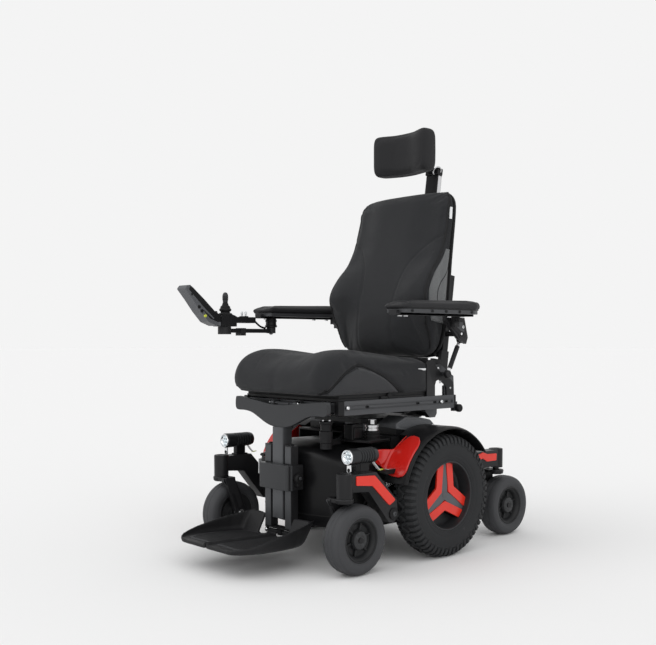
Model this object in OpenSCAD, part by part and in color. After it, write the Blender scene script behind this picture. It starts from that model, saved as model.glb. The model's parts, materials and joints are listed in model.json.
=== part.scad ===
// Power wheelchair: mid-wheel-drive base with sprung caster arms, and a seat
// that lifts, tilts and reclines. Millimetres, +Z up, the chair faces -Y,
// and the user's left is +X. The lengthwise places below are counted from the
// drive axle, and the whole chair is then shifted so that the origin lies
// under the middle of its outline.

/* [Drive wheels] */
// Radius of a drive wheel over its tread
drive_r = 178; // [170:1:180]
// Width of a drive tyre
drive_w = 76; // [70:1:78]
// Distance from the middle of the chair to the middle of a drive wheel
drive_x = 287; // [287:1:289]
// Radius of the drive rim's open face
rim_r = 97; // [92:1:100]

/* [Casters] */
// Radius of a caster wheel
caster_r = 95; // [90:1:95]
// Width of a caster wheel
caster_w = 65; // [60:1:66]
// How far a caster's axle trails behind its swivel
caster_trail = 38; // [34:1:40]
// Lengthwise place of the front swivels
front_stem_y = -384; // [-388:1:-384]
// Sideways place of the front swivels
front_stem_x = 278; // [278:1:280]
// Lengthwise place of the rear swivels
rear_stem_y = 345; // [343:1:347]
// Sideways place of the rear swivels
rear_stem_x = 222; // [220:1:223]

/* [Seat] */
// Half the width over the seat rails
seat_half = 213; // [210:1:213]
// Height of the underside of the seat rails
rail_low = 423; // [421:1:425]
// Height of the seat rails' top
rail_top = 461; // [459:1:462]
// Height of the underside of the seat cushion
cushion_low = 474; // [473:1:476]
// Height of the seat cushion's leg bumps
cushion_top = 598; // [585:1:600]

/* [Backrest] */
// How far the backrest leans back from upright, in degrees
lean = 8.4; // [8:0.1:9]
// Half the width of the backrest at the lumbar wings
lumbar_half = 214; // [208:1:215]
// Half the width of the backrest at the shoulders
shoulder_half = 207; // [200:1:209]
// Height of the headrest pad's middle
headrest_z = 1244; // [1240:1:1248]

/* [Armrests] */
// Height of the armrest pads' top
arm_top = 743; // [738:1:748]
// Sideways place of the armrest pads' middle
arm_x = 300; // [299:1:301]
// Width of an armrest pad
arm_w = 90; // [84:1:90]

/* [Legrest] */
// Lengthwise place of the legrest's hinge
knee_y = -358; // [-358:1:-357]
// Height of the legrest's hinge
knee_z = 448; // [447:1:448]
// Height of the top of the footplates
foot_z = 70; // [68:1:72]
// How far the footplates pitch up, in degrees
foot_pitch = 2.2; // [1.8:0.1:2.4]

/* [Hidden] */

// Radial clearance of a shaft in its bore
run = 0.05;
// Shift from the drive axle to the middle of the chair's outline
front_end = -624;
origin_y = (front_end + rear_stem_y + caster_trail + caster_r) / 2;
axle_z = drive_r;
// Front and rear suspension arms' pivots
front_pivot = [-215, 150];
rear_pivot = [112, 236];
// Seat tilt pivot, backrest pivot, armrest pivot and the level link's lower pin
tilt_pivot = [130, 400];
recline_pivot = [75, 545];
arm_pivot = [134, 651];
link_offset = [20, -17];
link_pin = recline_pivot + link_offset;
link_top = arm_pivot + link_offset;
// Armrest flip hinge, and the joystick's swing post and stick
flip_pivot = [95, 697];
swing_post = [-300, -168];
stick_x = -300;
stick_y = -353;
stick_z = 698;
stick_half = 22;
toggle_y = -280;
rail_mid = rail_low + 20;
// Hinge pin of the footplates
foot_pin = [-374, 76];

$fn = 48;

// ---------- helpers ----------

// Puts a piece drawn from the drive axle in the chair's own frame
module place() { translate([0, -origin_y, 0]) children(); }

// A block between two corners
module block(a, b) { translate(a) cube(b - a); }

// A side outline in [y, z], given a thickness from x0 to x1
module side(points, x0, x1) {
    translate([x0, 0, 0]) rotate([90, 0, 90]) linear_extrude(x1 - x0) polygon(points);
}

// A plan outline in [x, y], given a height from z0 to z1
module plan(points, z0, z1) {
    translate([0, 0, z0]) linear_extrude(z1 - z0) polygon(points);
}

// A cylinder along X through [y, z]
module x_cyl(p, r, x0, x1) { translate([x0, p[0], p[1]]) rotate([0, 90, 0]) cylinder(r = r, h = x1 - x0); }

// A cylinder from point a to point b
module bar(a, b, r) {
    d = b - a;
    translate(a) rotate([0, acos(d[2] / norm(d)), atan2(d[1], d[0])]) cylinder(r = r, h = norm(d));
}

// A flat outline with round corners, w by h
module round_rect(w, h, r) {
    square([w - 2 * r, h], center = true);
    square([w, h - 2 * r], center = true);
    for (x = [-1, 1], y = [-1, 1]) translate([x * (w / 2 - r), y * (h / 2 - r)]) circle(r);
}

// The mirror image for the user's right
module on_right() { mirror([1, 0, 0]) children(); }

// A piece of the reclined backrest, drawn upright from the recline pivot
module leaned() {
    translate([0, recline_pivot[0], recline_pivot[1]]) rotate([-lean, 0, 0]) children();
}

// ---------- base ----------

module chassis_frame() color("#1b1b1d") place() {
    difference() {
        union() {
            block([-196, -215, 96], [196, 205, 104]);
            for (s = [-1, 1]) translate([s * 192, 0, 0]) block([-6, -226, 96], [6, 205, 262]);
            block([-196, -150, 104], [196, -144, 250]);
            block([-196, 182, 104], [196, 190, 262]);
            for (s = [-1, 1]) x_cyl(front_pivot, 22, s > 0 ? 196 : -256, s > 0 ? 256 : -196);
            for (s = [-1, 1]) x_cyl(rear_pivot, 18, s > 0 ? 186 : -201, s > 0 ? 201 : -186);
        }
        for (s = [-1, 1]) x_cyl([0, axle_z], 58, s > 0 ? 180 : -200, s > 0 ? 200 : -180);
    }
    for (s = [-1, 1]) x_cyl(front_pivot, 10, s > 0 ? 250 : -302, s > 0 ? 302 : -250);
    for (s = [-1, 1]) x_cyl(rear_pivot, 8, s > 0 ? 195 : -246, s > 0 ? 246 : -195);
}

// Outline of the front cover in plan, inset by t
function cover_plan(t) = [
    for (a = [0 : 12 : 180]) [(206 - t) * cos(a), -236 - (104 - t) * sin(a)],
    [-206 + t, -130], [206 - t, -130]
];

// Front view of the cover's crowned top, t below its outer face
// Inner radius of the red panels where they wrap the fenders
panel_r = drive_r + 24.4;
module crowned(t) {
    rotate([90, 0, 0]) translate([0, 0, 100]) linear_extrude(280)
        polygon([[-230, 80], [230, 80], [230, 292 - t], [190, 300 - t], [110, 344 - t], [-110, 344 - t], [-190, 300 - t], [-230, 292 - t]]);
}
module front_cover() color("#161617") place() difference() {
    intersection() {
        plan(cover_plan(0), 98, 352);
        side([[-322, 98], [-340, 132], [-340, 300], [-322, 320], [-290, 329], [-210, 344], [-130, 344], [-130, 98]], -220, 220);
        crowned(0);
    }
    intersection() {
        plan(cover_plan(5), 90, 346);
        side([[-318, 90], [-335, 134], [-335, 298], [-319, 315], [-289, 324], [-209, 339], [-120, 339], [-120, 90]], -220, 220);
        crowned(5);
    }
    for (s = [-1, 1]) block([s > 0 ? 184 : -230, -250, 90], [s > 0 ? 230 : -184, -120, 270]);
}

module rear_cover() color("#19191b") place() {
    difference() {
        plan([
            [-206, -128], [206, -128], [206, 70], [199, 80], [199, 150], [150, 212], [104, 258],
            [-104, 258], [-150, 212], [-199, 150], [-199, 80], [-206, 70]
        ], 268, 350);
        plan([
            [-201, -140], [201, -140], [201, 68], [194, 78], [194, 147], [147, 206], [101, 252],
            [-101, 252], [-147, 206], [-194, 147], [-194, 78], [-201, 68]
        ], 260, 345);
        side([[130, 352], [262, 318], [262, 360]], -220, 220);
        block([-66, -66, 340], [66, 66, 360]);
    }
    for (s = [-1, 1]) side([[-92, 351], [-92, 380], [-46, 402], [10, 396], [60, 382], [84, 366], [70, 351]],
        s > 0 ? 118 : -190, s > 0 ? 190 : -118);
}

module batteries() color("#2a2c30") place() {
    block([-84, -140, 105], [84, -66, 300]);
    block([-84, 68, 105], [84, 178, 300]);
}

module drive_motors() color("#3a3a3d") place() for (s = [-1, 1]) scale([s, 1, 1]) {
    x_cyl([0, axle_z], 50, 72, 178);
    x_cyl([0, axle_z], 56, 178, 244);
    x_cyl([0, axle_z], 10, 244, 300);
}

module control_module() color("#26262a") place() block([-150, -236, 200], [150, -160, 262]);

module side_panels() color("#c01612") place() for (s = [-1, 1]) scale([s, 1, 1]) {
    difference() {
        side([[-212, 319], [-140, 319], [-130, 300], [-160, 243], [-186, 266], [-212, 293]], 214, 229);
        x_cyl([0, axle_z], panel_r, 200, 260);
    }
    difference() {
        intersection() {
            x_cyl([0, axle_z], panel_r + 4, 214, 320);
            side([[0, axle_z], [-300, axle_z + 112], [-300, 520], [-230, 600]], 214, 320);
        }
        x_cyl([0, axle_z], panel_r, 210, 330);
    }
}

module fenders() color("#141415") place() for (s = [-1, 1]) scale([s, 1, 1]) intersection() {
    difference() {
        x_cyl([0, axle_z], drive_r + 24, 208, drive_x + drive_w / 2);
        x_cyl([0, axle_z], drive_r + 18, 212, drive_x + drive_w);
        x_cyl([0, axle_z], drive_r - 14, 200, 230);
    }
    side([[0, axle_z], [-420, axle_z + 112], [-420, 600], [420, 600], [420, axle_z + 360]], 200, 340);
}

module lift_column() color("#3c3d40") place() {
    difference() {
        block([-60, -60, 104], [60, 60, 372]);
        block([-55, -55, 110], [55, 55, 380]);
    }
}

module lift_carriage() color("#46474a") place() {
    block([-54.5, -54.5, 112], [54.5, 54.5, 384]);
    block([-104, -150, 384], [104, 105, 396]);
    for (s = [-1, 1]) difference() {
        side([[60, 384], [60, 396], [118, 414], [142, 414], [146, 400], [140, 386]], s > 0 ? 66 : -84, s > 0 ? 84 : -66);
        x_cyl(tilt_pivot, 10 + run, -200, 200);
    }
}

// ---------- seat ----------

module seat_frame() color("#4a4b4e") place() {
    for (s = [-1, 1]) scale([s, 1, 1]) {
        difference() {
            block([197, -344, rail_low], [seat_half, 150, rail_top]);
            block([seat_half - 3, -334, rail_low + 14], [seat_half + 2, 140, rail_low + 26]);
            for (y = [-230, -17, 60, 113]) x_cyl([y, rail_mid], 3.5, 190, 220);
        }
        block([186, -330, rail_low + 4], [197, 150, rail_low + 12]);
        side([[96, 431], [96, 408], [118, 388], [142, 388], [150, 400], [150, 431]], 122, 140);
        // Rear corner bracket and the plate that carries the backrest's pivot
        side([[106, 462], [106, 490], [126, 500], [118, 516], [62, 532], [62, 556], [88, 558], [150, 520], [153, 462]], 199, 208);
        x_cyl(recline_pivot, 8, 190, 208);
        x_cyl(link_pin, 6, 208, 236);
        x_cyl([167, 420], 9, 190, 216);
        block([197, 150, 411], [209, 167, 440]);
        // Lugs of the legrest's hinge
        difference() {
            union() {
                x_cyl([knee_y, knee_z], 8.5, 44, 58);
                block([44, knee_y, knee_z - 8], [58, -316, knee_z + 8]);
            }
            x_cyl([knee_y, knee_z], 5 + run, 40, 70);
        }
    }
    block([-197, -340, rail_low + 8], [197, -316, rail_top - 4]);
    difference() {
        union() {
            block([-197, -40, rail_low + 8], [197, -16, rail_top - 4]);
            block([-197, 96, rail_low + 8], [197, 128, rail_top - 4]);
        }
        // The rail's holes go on into the cross members
        for (s = [-1, 1], y = [-17, 113]) scale([s, 1, 1]) x_cyl([y, rail_mid], 3.5, 150, 200);
    }
    x_cyl(tilt_pivot, 10, -140, 140);
}

module seat_pan() color("#1d1d1f") place() plan([
    [-206, -338], [206, -338], [206, 60], [180, 92], [-180, 92], [-206, 60]], rail_top, rail_top + 7);

// Side outline of the seat cushion
cushion_side = [
    [-378, cushion_low], [-402, cushion_low + 22], [-405, cushion_low + 56], [-384, cushion_top - 20], [-345, cushion_top - 4],
    [-290, cushion_top], [-230, cushion_top - 3], [-150, cushion_top - 16], [-60, cushion_top - 32], [24, 556], [28, cushion_low]
];
module seat_cushion() color("#3a3b3d") place() intersection() {
    side(cushion_side, -212, 212);
    translate([0, -188, 460]) linear_extrude(160) round_rect(422, 434, 46);
}

module rail_bolts() color("#c8c8ca") place() for (s = [-1, 1], y = [-310, 87]) scale([s, 1, 1])
    x_cyl([y, rail_mid], 5.5, seat_half - 3, seat_half + 1);

// ---------- backrest ----------

module backrest_frame() color("#232325") place() {
    for (s = [-1, 1]) scale([s, 1, 1]) {
        difference() {
            union() {
                x_cyl(recline_pivot, 16, 184, 197);
                leaned() block([184, -10, 0], [197, 58, 30]);
                leaned() block([184, 24, 30], [197, 58, 60]);
                leaned() block([165, 36, 40], [190, 60, 300]);
            }
            x_cyl(recline_pivot, 8 + run, 180, 210);
        }
        x_cyl(arm_pivot, 8, 186, 254);
    }
    leaned() block([-165, 40, 60], [165, 56, 100]);
    leaned() block([-165, 40, 260], [165, 56, 300]);
    leaned() difference() {
        union() {
            block([-32, 56, 60], [32, 76, 520]);
            block([-38, 70, 430], [38, 146, 520]);
        }
        block([-26.1, 117.9, 420], [26.1, 137.1, 530]);
    }
}

// Front outline of the backrest as [half width, height above the recline pivot]
back_outline = [
    [150, 36], [186, 46], [202, 72], [210, 104], [lumbar_half, 150], [lumbar_half, 208], [211, 290], [209, 340],
    [shoulder_half, 465], [203, 525], [190, 550], [165, 560], [120, 563]
];
// How far the middle and the side wings stand forward, as [place, height]
back_middle = [[-40, 36], [-74, 64], [-92, 120], [-86, 190], [-70, 260], [-50, 340], [-32, 465], [-20, 563]];
back_wing = [
    [-16, 36], [-30, 93], [-72, 150], [-104, 208], [-100, 237], [-70, 286], [-36, 332], [-15, 390], [-10, 465], [2, 563]
];
module back_plate(y0, y1, inset) {
    k = 1 - inset / 200;
    mirrored = [for (i = [len(back_outline) - 1 : -1 : 0]) [-back_outline[i][0], back_outline[i][1]]];
    rotate([90, 0, 0]) translate([0, 0, -y1]) linear_extrude(y1 - y0)
        polygon([for (p = concat(back_outline, mirrored)) [p[0] * k, p[1]]]);
}
module back_depth(front, x0, x1) {
    rotate([90, 0, 90]) translate([0, 0, x0]) linear_extrude(x1 - x0)
        polygon(concat(front, [[14, 563], [14, 36]]));
}
module backrest_shell() color("#1a1a1b") place() leaned() difference() {
    back_plate(15, 28, 10);
    for (s = [-1, 1]) scale([s, 1, 1]) block([178, 10, 30], [230, 60, 64]);
}
module backrest_cushion() color("#333436") place() leaned() intersection() {
    back_plate(-120, 14.7, 0);
    union() {
        back_depth(back_middle, -175, 175);
        for (s = [-1, 1]) scale([s, 1, 1]) back_depth(back_wing, 158, 230);
    }
}

// Tilting pivot of the headrest in the leaned frame, as [distance back, height]
headrest_axis = [40, 682];
module headrest_post() color("#1c1c1d") place() leaned() {
    block([-26, 118, 400], [26, 137, headrest_axis[1] + 8]);
    block([-11, headrest_axis[0], headrest_axis[1] - 8], [11, 118.1, headrest_axis[1] + 8]);
    x_cyl(headrest_axis, 8, -26, 26);
}

module headrest_pad() color("#2f3032") place() difference() {
    union() {
        for (x = [-1, 1]) hull() for (z = [1190, 1294]) {
            for (y = [134, 162]) translate([x * 96, y, z]) sphere(20, $fn = 20);
            translate([x * 60, 166, z]) sphere(20, $fn = 20);
        }
        hull() for (x = [-1, 1], y = [160, 168], z = [1190, 1294]) translate([x * 62, y, z]) sphere(20, $fn = 20);
        leaned() for (x = [-1, 1]) x_cyl(headrest_axis, 14, x > 0 ? 12 : -24, x > 0 ? 24 : -12);
        leaned() for (x = [-1, 1]) scale([x, 1, 1])
            block([12, 0, headrest_axis[1] - 8], [24, headrest_axis[0] - 4, headrest_axis[1] + 13]);
    }
    leaned() x_cyl(headrest_axis, 8 + run, -40, 40);
}

// ---------- armrests ----------

module armrest_bracket_left() color("#1e1e20") place() {
    difference() {
        side([[60, 706], [150, 700], [166, 640], [158, 620], [122, 636], [60, 690]], 240, 252);
        x_cyl(arm_pivot, 8 + run, 230, 260);
    }
    x_cyl(link_top, 5, 224, 240);
    difference() {
        union() {
            x_cyl(flip_pivot, 11, 252, 268);
            block([252, 84, 672], [268, 106, 697]);
        }
        x_cyl(flip_pivot, 6 + run, 250, 270);
    }
}
module armrest_bracket_right() on_right() armrest_bracket_left();

module armrest_rail_left() color("#202022") place() {
    difference() {
        union() {
            block([arm_x - 14, -222, 702], [arm_x + 14, 116, 716]);
            block([arm_x - 30, 84, 686], [arm_x - 14, 106, 716]);
        }
        for (y = [-150, -100, -50, 0, 50]) translate([arm_x, y, 690]) cylinder(r = 3.5, h = 40);
    }
    x_cyl(flip_pivot, 6, 252.4, 286);
}
module armrest_rail_right() {
    on_right() armrest_rail_left();
    // Post that the joystick swings on
    color("#202022") place() {
        translate([swing_post[0], swing_post[1], 652]) cylinder(r = 7, h = 52);
        translate([swing_post[0], swing_post[1], 679]) cylinder(r = 17, h = 24);
    }
}

module armrest_pad_left() color("#2b2b2d") place()
    translate([arm_x, -56, 716]) linear_extrude(arm_top - 716) round_rect(arm_w, 366, 26);
module armrest_pad_right() on_right() armrest_pad_left();

module link_rod_left() color("#8d8e90") place() difference() {
    union() {
        bar([230.5, link_pin[0], link_pin[1]], [230.5, link_top[0], link_top[1]], 5);
        x_cyl(link_pin, 10, 226, 235);
        x_cyl(link_top, 10, 226, 235);
    }
    x_cyl(link_pin, 6 + run, 220, 240);
    x_cyl(link_top, 5.6, 220, 240);
}
module link_rod_right() on_right() link_rod_left();

// ---------- joystick ----------

module joystick_swing_arm() color("#1d1d1f") place() difference() {
    union() {
        translate([swing_post[0], swing_post[1], 654]) cylinder(r = 15, h = 24);
        block([stick_x - 11, stick_y, 655], [stick_x + 11, swing_post[1], 668]);
        translate([stick_x, -356, 650]) cylinder(r = 21, h = 24);
        block([stick_x - 14, -302, 646], [stick_x + 14, -282, 670]);
    }
    translate([swing_post[0], swing_post[1], 650]) cylinder(r = 7 + run, h = 60);
}

// Side outline of the tilted display, drawn from its foot at the housing
panel_side = [
    [-384, 676], [-401, 677], [-432, 688], [-461, 719], [-493, 759], [-517, 788], [-508, 797], [-494, 799],
    [-449, 761], [-408, 722], [-384, 708]
];

module joystick_housing() color("#222224") place() difference() {
    union() {
        side([[-383.6, 674.4], [-383.6, 706], [-372, 711], [-336, 711], [-324, 706], [-324, 674.4]],
            stick_x - stick_half, stick_x + stick_half);
        block([stick_x - stick_half, -330, 686], [stick_x + stick_half, -249, 705]);
    }
    translate([stick_x, stick_y, 682]) cylinder(r = 17.5, h = 40);
    for (s = [-1, 1]) translate([stick_x, stick_y, stick_z]) rotate([90 * s, 0, 0]) cylinder(r = 2 + run, h = 22);
    for (x = [-10, 10]) translate([stick_x + x, toggle_y, 690]) cylinder(r = 7, h = 30);
    x_cyl([toggle_y, stick_z], 1.5 + run, stick_x - 18, stick_x + 18);
}

module display_panel() color("#55565a") place() difference() {
    side(panel_side, stick_x - stick_half, stick_x + stick_half);
    x_cyl([-446, 706], 5.3, stick_x + stick_half - 8, stick_x + stick_half + 1);
}

// The boot is the outer ring of the gimbal and rolls about Y
module joystick_boot() color("#111112") place() translate([stick_x, stick_y, stick_z]) difference() {
    union() {
        translate([0, 0, -7]) cylinder(r = 14, h = 16);
        translate([0, 0, 9]) cylinder(r1 = 14, r2 = 12, h = 8);
        rotate([90, 0, 0]) translate([0, 0, -20]) cylinder(r = 2, h = 40);
    }
    translate([0, 0, -8]) cylinder(r = 9, h = 40);
    x_cyl([0, 0], 1.5 + run, -12, 12);
}

// The lever tips about X inside the boot
module joystick_stick() color("#141416") place() translate([stick_x, stick_y, stick_z]) {
    translate([0, 0, -5]) cylinder(r = 4, h = 52);
    x_cyl([0, 0], 1.5, -11.8, 11.8);
    translate([0, 0, 21]) cylinder(r1 = 16, r2 = 8, h = 16);
    translate([0, 0, 44]) cylinder(r1 = 6, r2 = 9, h = 16);
    translate([0, 0, 60]) cylinder(r1 = 9, r2 = 7, h = 18);
}

module toggle_switches() color("#cfd0d2") place() {
    for (x = [-10, 10]) translate([stick_x + x, toggle_y, stick_z]) {
        translate([0, 0, -3]) cylinder(r = 3, h = 20);
        translate([0, 0, 15]) cylinder(r = 4, h = 7);
    }
    x_cyl([toggle_y, stick_z], 1.5, stick_x - 17.8, stick_x + 17.8);
}

module power_button() color("#c9d42a") place()
    x_cyl([-446, 706], 5, stick_x + stick_half - 6, stick_x + stick_half + 5);

// The cable runs back out of the housing and bends down into the swing arm
module joystick_cable() color("#0f0f10") place() {
    bar([stick_x, -252, 695], [stick_x, -222, 691], 3);
    translate([stick_x, -222, 691]) sphere(3.3);
    bar([stick_x, -222, 691], [stick_x, -206, 664], 3);
}

// ---------- legrest ----------

module legrest_cover() color("#3d3e41") place() translate([0, -367, 0]) rotate([90, 0, 0]) linear_extrude(13)
    polygon([[-200, 461], [-207, 454], [-207, 424], [-200, 419], [-150, 419], [-112, 408], [-70, 388], [-34, 381],
        [34, 381], [70, 388], [112, 408], [150, 419], [200, 419], [207, 424], [207, 454], [200, 461], [110, 452], [0, 446], [-110, 452]]);

module legrest_column() color("#454649") place() {
    block([-24, -385, 118], [24, -353, 381]);
    block([-24, -366, 381], [24, -352, 450]);
    x_cyl([knee_y, knee_z], 5, -62, 62);
}

module legrest_carriage() color("#2c2d30") place() {
    for (s = [-1, 1]) scale([s, 1, 1]) block([30, -384, 86], [60, -360, 330]);
    difference() {
        block([-67, -400, 205], [67, -347, 275]);
        block([-24.4, -385.4, 200], [24.4, -352.6, 280]);
    }
    block([-60, -384, 86], [60, -358, 91]);
    block([-8, -381, 68], [8, -367, 88]);
    x_cyl(foot_pin, 5, -60, 60);
}

// Plan outline of the left footplate
foot_plan = [
    [3, -362], [3, -622], [14, -624], [96, -624], [130, -619], [149, -605], [159, -582], [161, -540], [160, -498], [150, -452],
    [131, -404], [120, -394], [62, -394], [62, -362]
];
module footplate_left() color("#2a2b2e") place() translate([0, foot_pin[0], foot_pin[1]]) rotate([-foot_pitch, 0, 0])
translate([0, -foot_pin[0], -foot_pin[1]]) difference() {
    union() {
        difference() {
            plan(foot_plan, foot_z - 10, foot_z + 57);
            translate([0, -8, 0]) plan([for (p = foot_plan) [p[0] < 5 ? -20 : p[0] - 8, p[1]]], foot_z, foot_z + 90);
            side([[-640, foot_z], [-622, foot_z + 3], [-402, foot_z + 57], [-402, foot_z + 90], [-640, foot_z + 90]], -10, 200);
            block([-10, -404, foot_z], [62.4, -350, foot_z + 90]);
        }
        x_cyl(foot_pin, 7, 12, 58);
    }
    x_cyl(foot_pin, 5 + run, -10, 80);
    block([-10, -384, 50], [11.6, -340, 100]);
}
module footplate_right() on_right() footplate_left();

// ---------- drive wheels ----------

module drive_tyre_left() color("#2e2f31") place() translate([drive_x, 0, axle_z]) rotate([0, 90, 0]) rotate_extrude($fn = 72)
    polygon([
        [rim_r + 3, -30], [rim_r + 3, 26], [112, 35], [146, drive_w / 2], [166, drive_w / 2 - 2], [drive_r, 26], [drive_r, -26],
        [166, 2 - drive_w / 2], [146, -drive_w / 2], [112, -35]
    ]);
module drive_tyre_right() on_right() drive_tyre_left();

module drive_rim_left() color("#55575b") place() difference() {
    union() {
        difference() {
            x_cyl([0, axle_z], rim_r + 3, drive_x - 30, drive_x + 26);
            x_cyl([0, axle_z], rim_r - 3, drive_x - 40, drive_x + 40);
        }
        x_cyl([0, axle_z], rim_r - 2, drive_x - 16, drive_x - 8);
        x_cyl([0, axle_z], 30, drive_x - 34, drive_x + 1);
        for (a = [0, 120, 240]) translate([0, 0, axle_z]) rotate([a, 0, 0])
            side([[-14, 0], [-12, 36], [-5, rim_r - 2], [5, rim_r - 2], [12, 36], [14, 0]], drive_x - 2, drive_x + 13);
    }
    x_cyl([0, axle_z], 10 + run, drive_x - 50, 301);
}
module drive_rim_right() on_right() drive_rim_left();

// Each inlay is a boomerang between two spokes, whose limbs run out along them to the rim
boomerang = [[0, 18], [79, 53], [79, 90], [57, 74], [0, 44], [-57, 74], [-79, 90], [-79, 53]];
module rim_inlays_left() color("#e8321e") place() translate([0, 0, axle_z]) for (a = [60, 180, 300]) rotate([a, 0, 0])
    intersection() {
        x_cyl([0, 0], rim_r - 5, drive_x, drive_x + 20);
        side(boomerang, drive_x + 2, drive_x + 14);
    }
module rim_inlays_right() on_right() rim_inlays_left();

// ---------- suspension arms and casters ----------

module front_arm_left() color("#1c1c1e") place() difference() {
    union() {
        side([[-372, 272], [-282, 272], [-201, 187], [-196, 140], [-216, 124], [-232, 128], [-311, 221], [-372, 226]], 259, 297);
        translate([front_stem_x, front_stem_y, 218]) cylinder(r = 21.5, h = 52);
    }
    translate([front_stem_x, front_stem_y, 210]) cylinder(r = 10 + run, h = 54);
    x_cyl(front_pivot, 10 + run, 250, 300);
}
module front_arm_right() on_right() front_arm_left();

module rear_arm_left() color("#1c1c1e") place() difference() {
    union() {
        side([[96, 222], [96, 252], [128, 262], [180, 279], [330, 279], [330, 227], [220, 227], [128, 214], [104, 214]], 204, 242);
        translate([rear_stem_x, rear_stem_y, 224]) cylinder(r = 21.5, h = 54);
    }
    translate([rear_stem_x, rear_stem_y, 210]) cylinder(r = 10 + run, h = 60);
    x_cyl(rear_pivot, 8 + run, 200, 260);
}
module rear_arm_right() on_right() rear_arm_left();

module headlight_left() color("#1a1a1c") place() {
    translate([front_stem_x, -268, 318]) rotate([90, 0, 0]) cylinder(r = 21, h = 92);
    translate([front_stem_x, -360, 318]) rotate([90, 0, 0]) cylinder(r = 18, h = 13);
    block([front_stem_x - 7, -366, 272], [front_stem_x + 7, -362, 306]);
    block([front_stem_x - 8, -330, 272], [front_stem_x + 8, -300, 300]);
}
module headlight_right() on_right() headlight_left();

// A one-sided caster fork: its stem at x, y, and its blade on the side away from the wheel's outer face
module fork(x, y, low) {
    inner = caster_w / 2 + 5;
    translate([x, y, low]) cylinder(r = 17, h = 13);
    translate([x, y, low + 13]) cylinder(r = 10, h = 48);
    difference() {
        side([[y - 16, low], [y - 16, low + 13], [y + 14, low + 13], [y + caster_trail + 14, caster_r + 6], [y + caster_trail + 8, caster_r - 14],
            [y + caster_trail - 10, caster_r - 12], [y + caster_trail - 20, caster_r + 8]], x - inner - 12, x - inner);
    }
    block([x - inner - 12, y - 16, low], [x, y + 14, low + 13]);
    x_cyl([y + caster_trail, caster_r], 8, x - inner, x + 26);
}
front_fork_low = 196;
rear_fork_low = 200;
module front_fork_left() color("#141415") place() fork(front_stem_x, front_stem_y, front_fork_low);
module front_fork_right() on_right() front_fork_left();
module rear_fork_left() color("#141415") place() fork(rear_stem_x, rear_stem_y, rear_fork_low);
module rear_fork_right() on_right() rear_fork_left();

module caster(x, y) translate([x, y, caster_r]) rotate([0, 90, 0]) {
    rotate_extrude($fn = 64) polygon([
        [60, -26], [60, 26], [70, 30], [84, caster_w / 2 - 1], [92, 22], [caster_r, 12], [caster_r, -12], [92, -22],
        [84, 1 - caster_w / 2], [70, -30]
    ]);
    rotate_extrude($fn = 64) polygon([
        [8 + run, -30], [8 + run, 18], [25, 18], [30, 8], [46, 10], [52, 26], [60, 26], [60, -26], [52, -26], [46, -14], [24, -14], [20, -30]
    ]);
}
module front_caster_left() color("#3b3c3f") place() caster(front_stem_x, front_stem_y + caster_trail);
module front_caster_right() on_right() front_caster_left();
module rear_caster_left() color("#3b3c3f") place() caster(rear_stem_x, rear_stem_y + caster_trail);
module rear_caster_right() on_right() rear_caster_left();

chassis_frame();
front_cover();
rear_cover();
batteries();
drive_motors();
control_module();
side_panels();
fenders();
lift_column();
lift_carriage();
seat_frame();
seat_pan();
seat_cushion();
rail_bolts();
backrest_frame();
backrest_shell();
backrest_cushion();
headrest_post();
headrest_pad();
armrest_bracket_left();
armrest_bracket_right();
armrest_rail_left();
armrest_rail_right();
armrest_pad_left();
armrest_pad_right();
link_rod_left();
link_rod_right();
joystick_swing_arm();
joystick_housing();
display_panel();
joystick_boot();
joystick_stick();
toggle_switches();
power_button();
joystick_cable();
legrest_cover();
legrest_column();
legrest_carriage();
footplate_left();
footplate_right();
drive_tyre_left();
drive_tyre_right();
drive_rim_left();
drive_rim_right();
rim_inlays_left();
rim_inlays_right();
front_arm_left();
front_arm_right();
rear_arm_left();
rear_arm_right();
headlight_left();
headlight_right();
front_fork_left();
front_fork_right();
rear_fork_left();
rear_fork_right();
front_caster_left();
front_caster_right();
rear_caster_left();
rear_caster_right();
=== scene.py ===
"""Looks of the power wheelchair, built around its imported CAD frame.

Metres, +Z up, the chair faces -Y, and the user's left is +X. Most places are
given from the drive axle, as in the CAD source, and chair() moves them to the
frame's own origin.
"""

import json
import math
import random

import bmesh
import bpy
from mathutils import Matrix, Vector, noise
from mathutils.bvhtree import BVHTree
from mathutils.kdtree import KDTree


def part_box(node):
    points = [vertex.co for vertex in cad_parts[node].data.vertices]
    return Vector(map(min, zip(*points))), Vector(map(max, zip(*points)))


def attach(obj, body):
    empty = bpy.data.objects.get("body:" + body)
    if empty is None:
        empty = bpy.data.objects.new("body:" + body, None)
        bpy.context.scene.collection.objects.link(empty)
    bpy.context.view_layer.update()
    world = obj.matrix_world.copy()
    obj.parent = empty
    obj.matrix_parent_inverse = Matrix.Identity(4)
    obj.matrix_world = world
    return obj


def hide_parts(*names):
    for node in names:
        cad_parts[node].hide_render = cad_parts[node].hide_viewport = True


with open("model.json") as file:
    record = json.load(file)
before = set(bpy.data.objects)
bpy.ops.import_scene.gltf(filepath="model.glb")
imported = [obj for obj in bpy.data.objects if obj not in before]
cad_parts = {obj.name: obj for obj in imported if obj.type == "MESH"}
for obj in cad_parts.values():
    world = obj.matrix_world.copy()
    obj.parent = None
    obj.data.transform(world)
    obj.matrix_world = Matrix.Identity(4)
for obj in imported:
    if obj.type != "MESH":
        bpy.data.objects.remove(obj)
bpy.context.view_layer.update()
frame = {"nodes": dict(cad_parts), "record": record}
nodes = frame["nodes"]
scene = bpy.context.scene
random.seed(7)

WHEEL_LOW, WHEEL_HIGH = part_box("drive_tyre_left")
AXLE_Y = (WHEEL_LOW.y + WHEEL_HIGH.y) / 2
MM = 0.001


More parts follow.
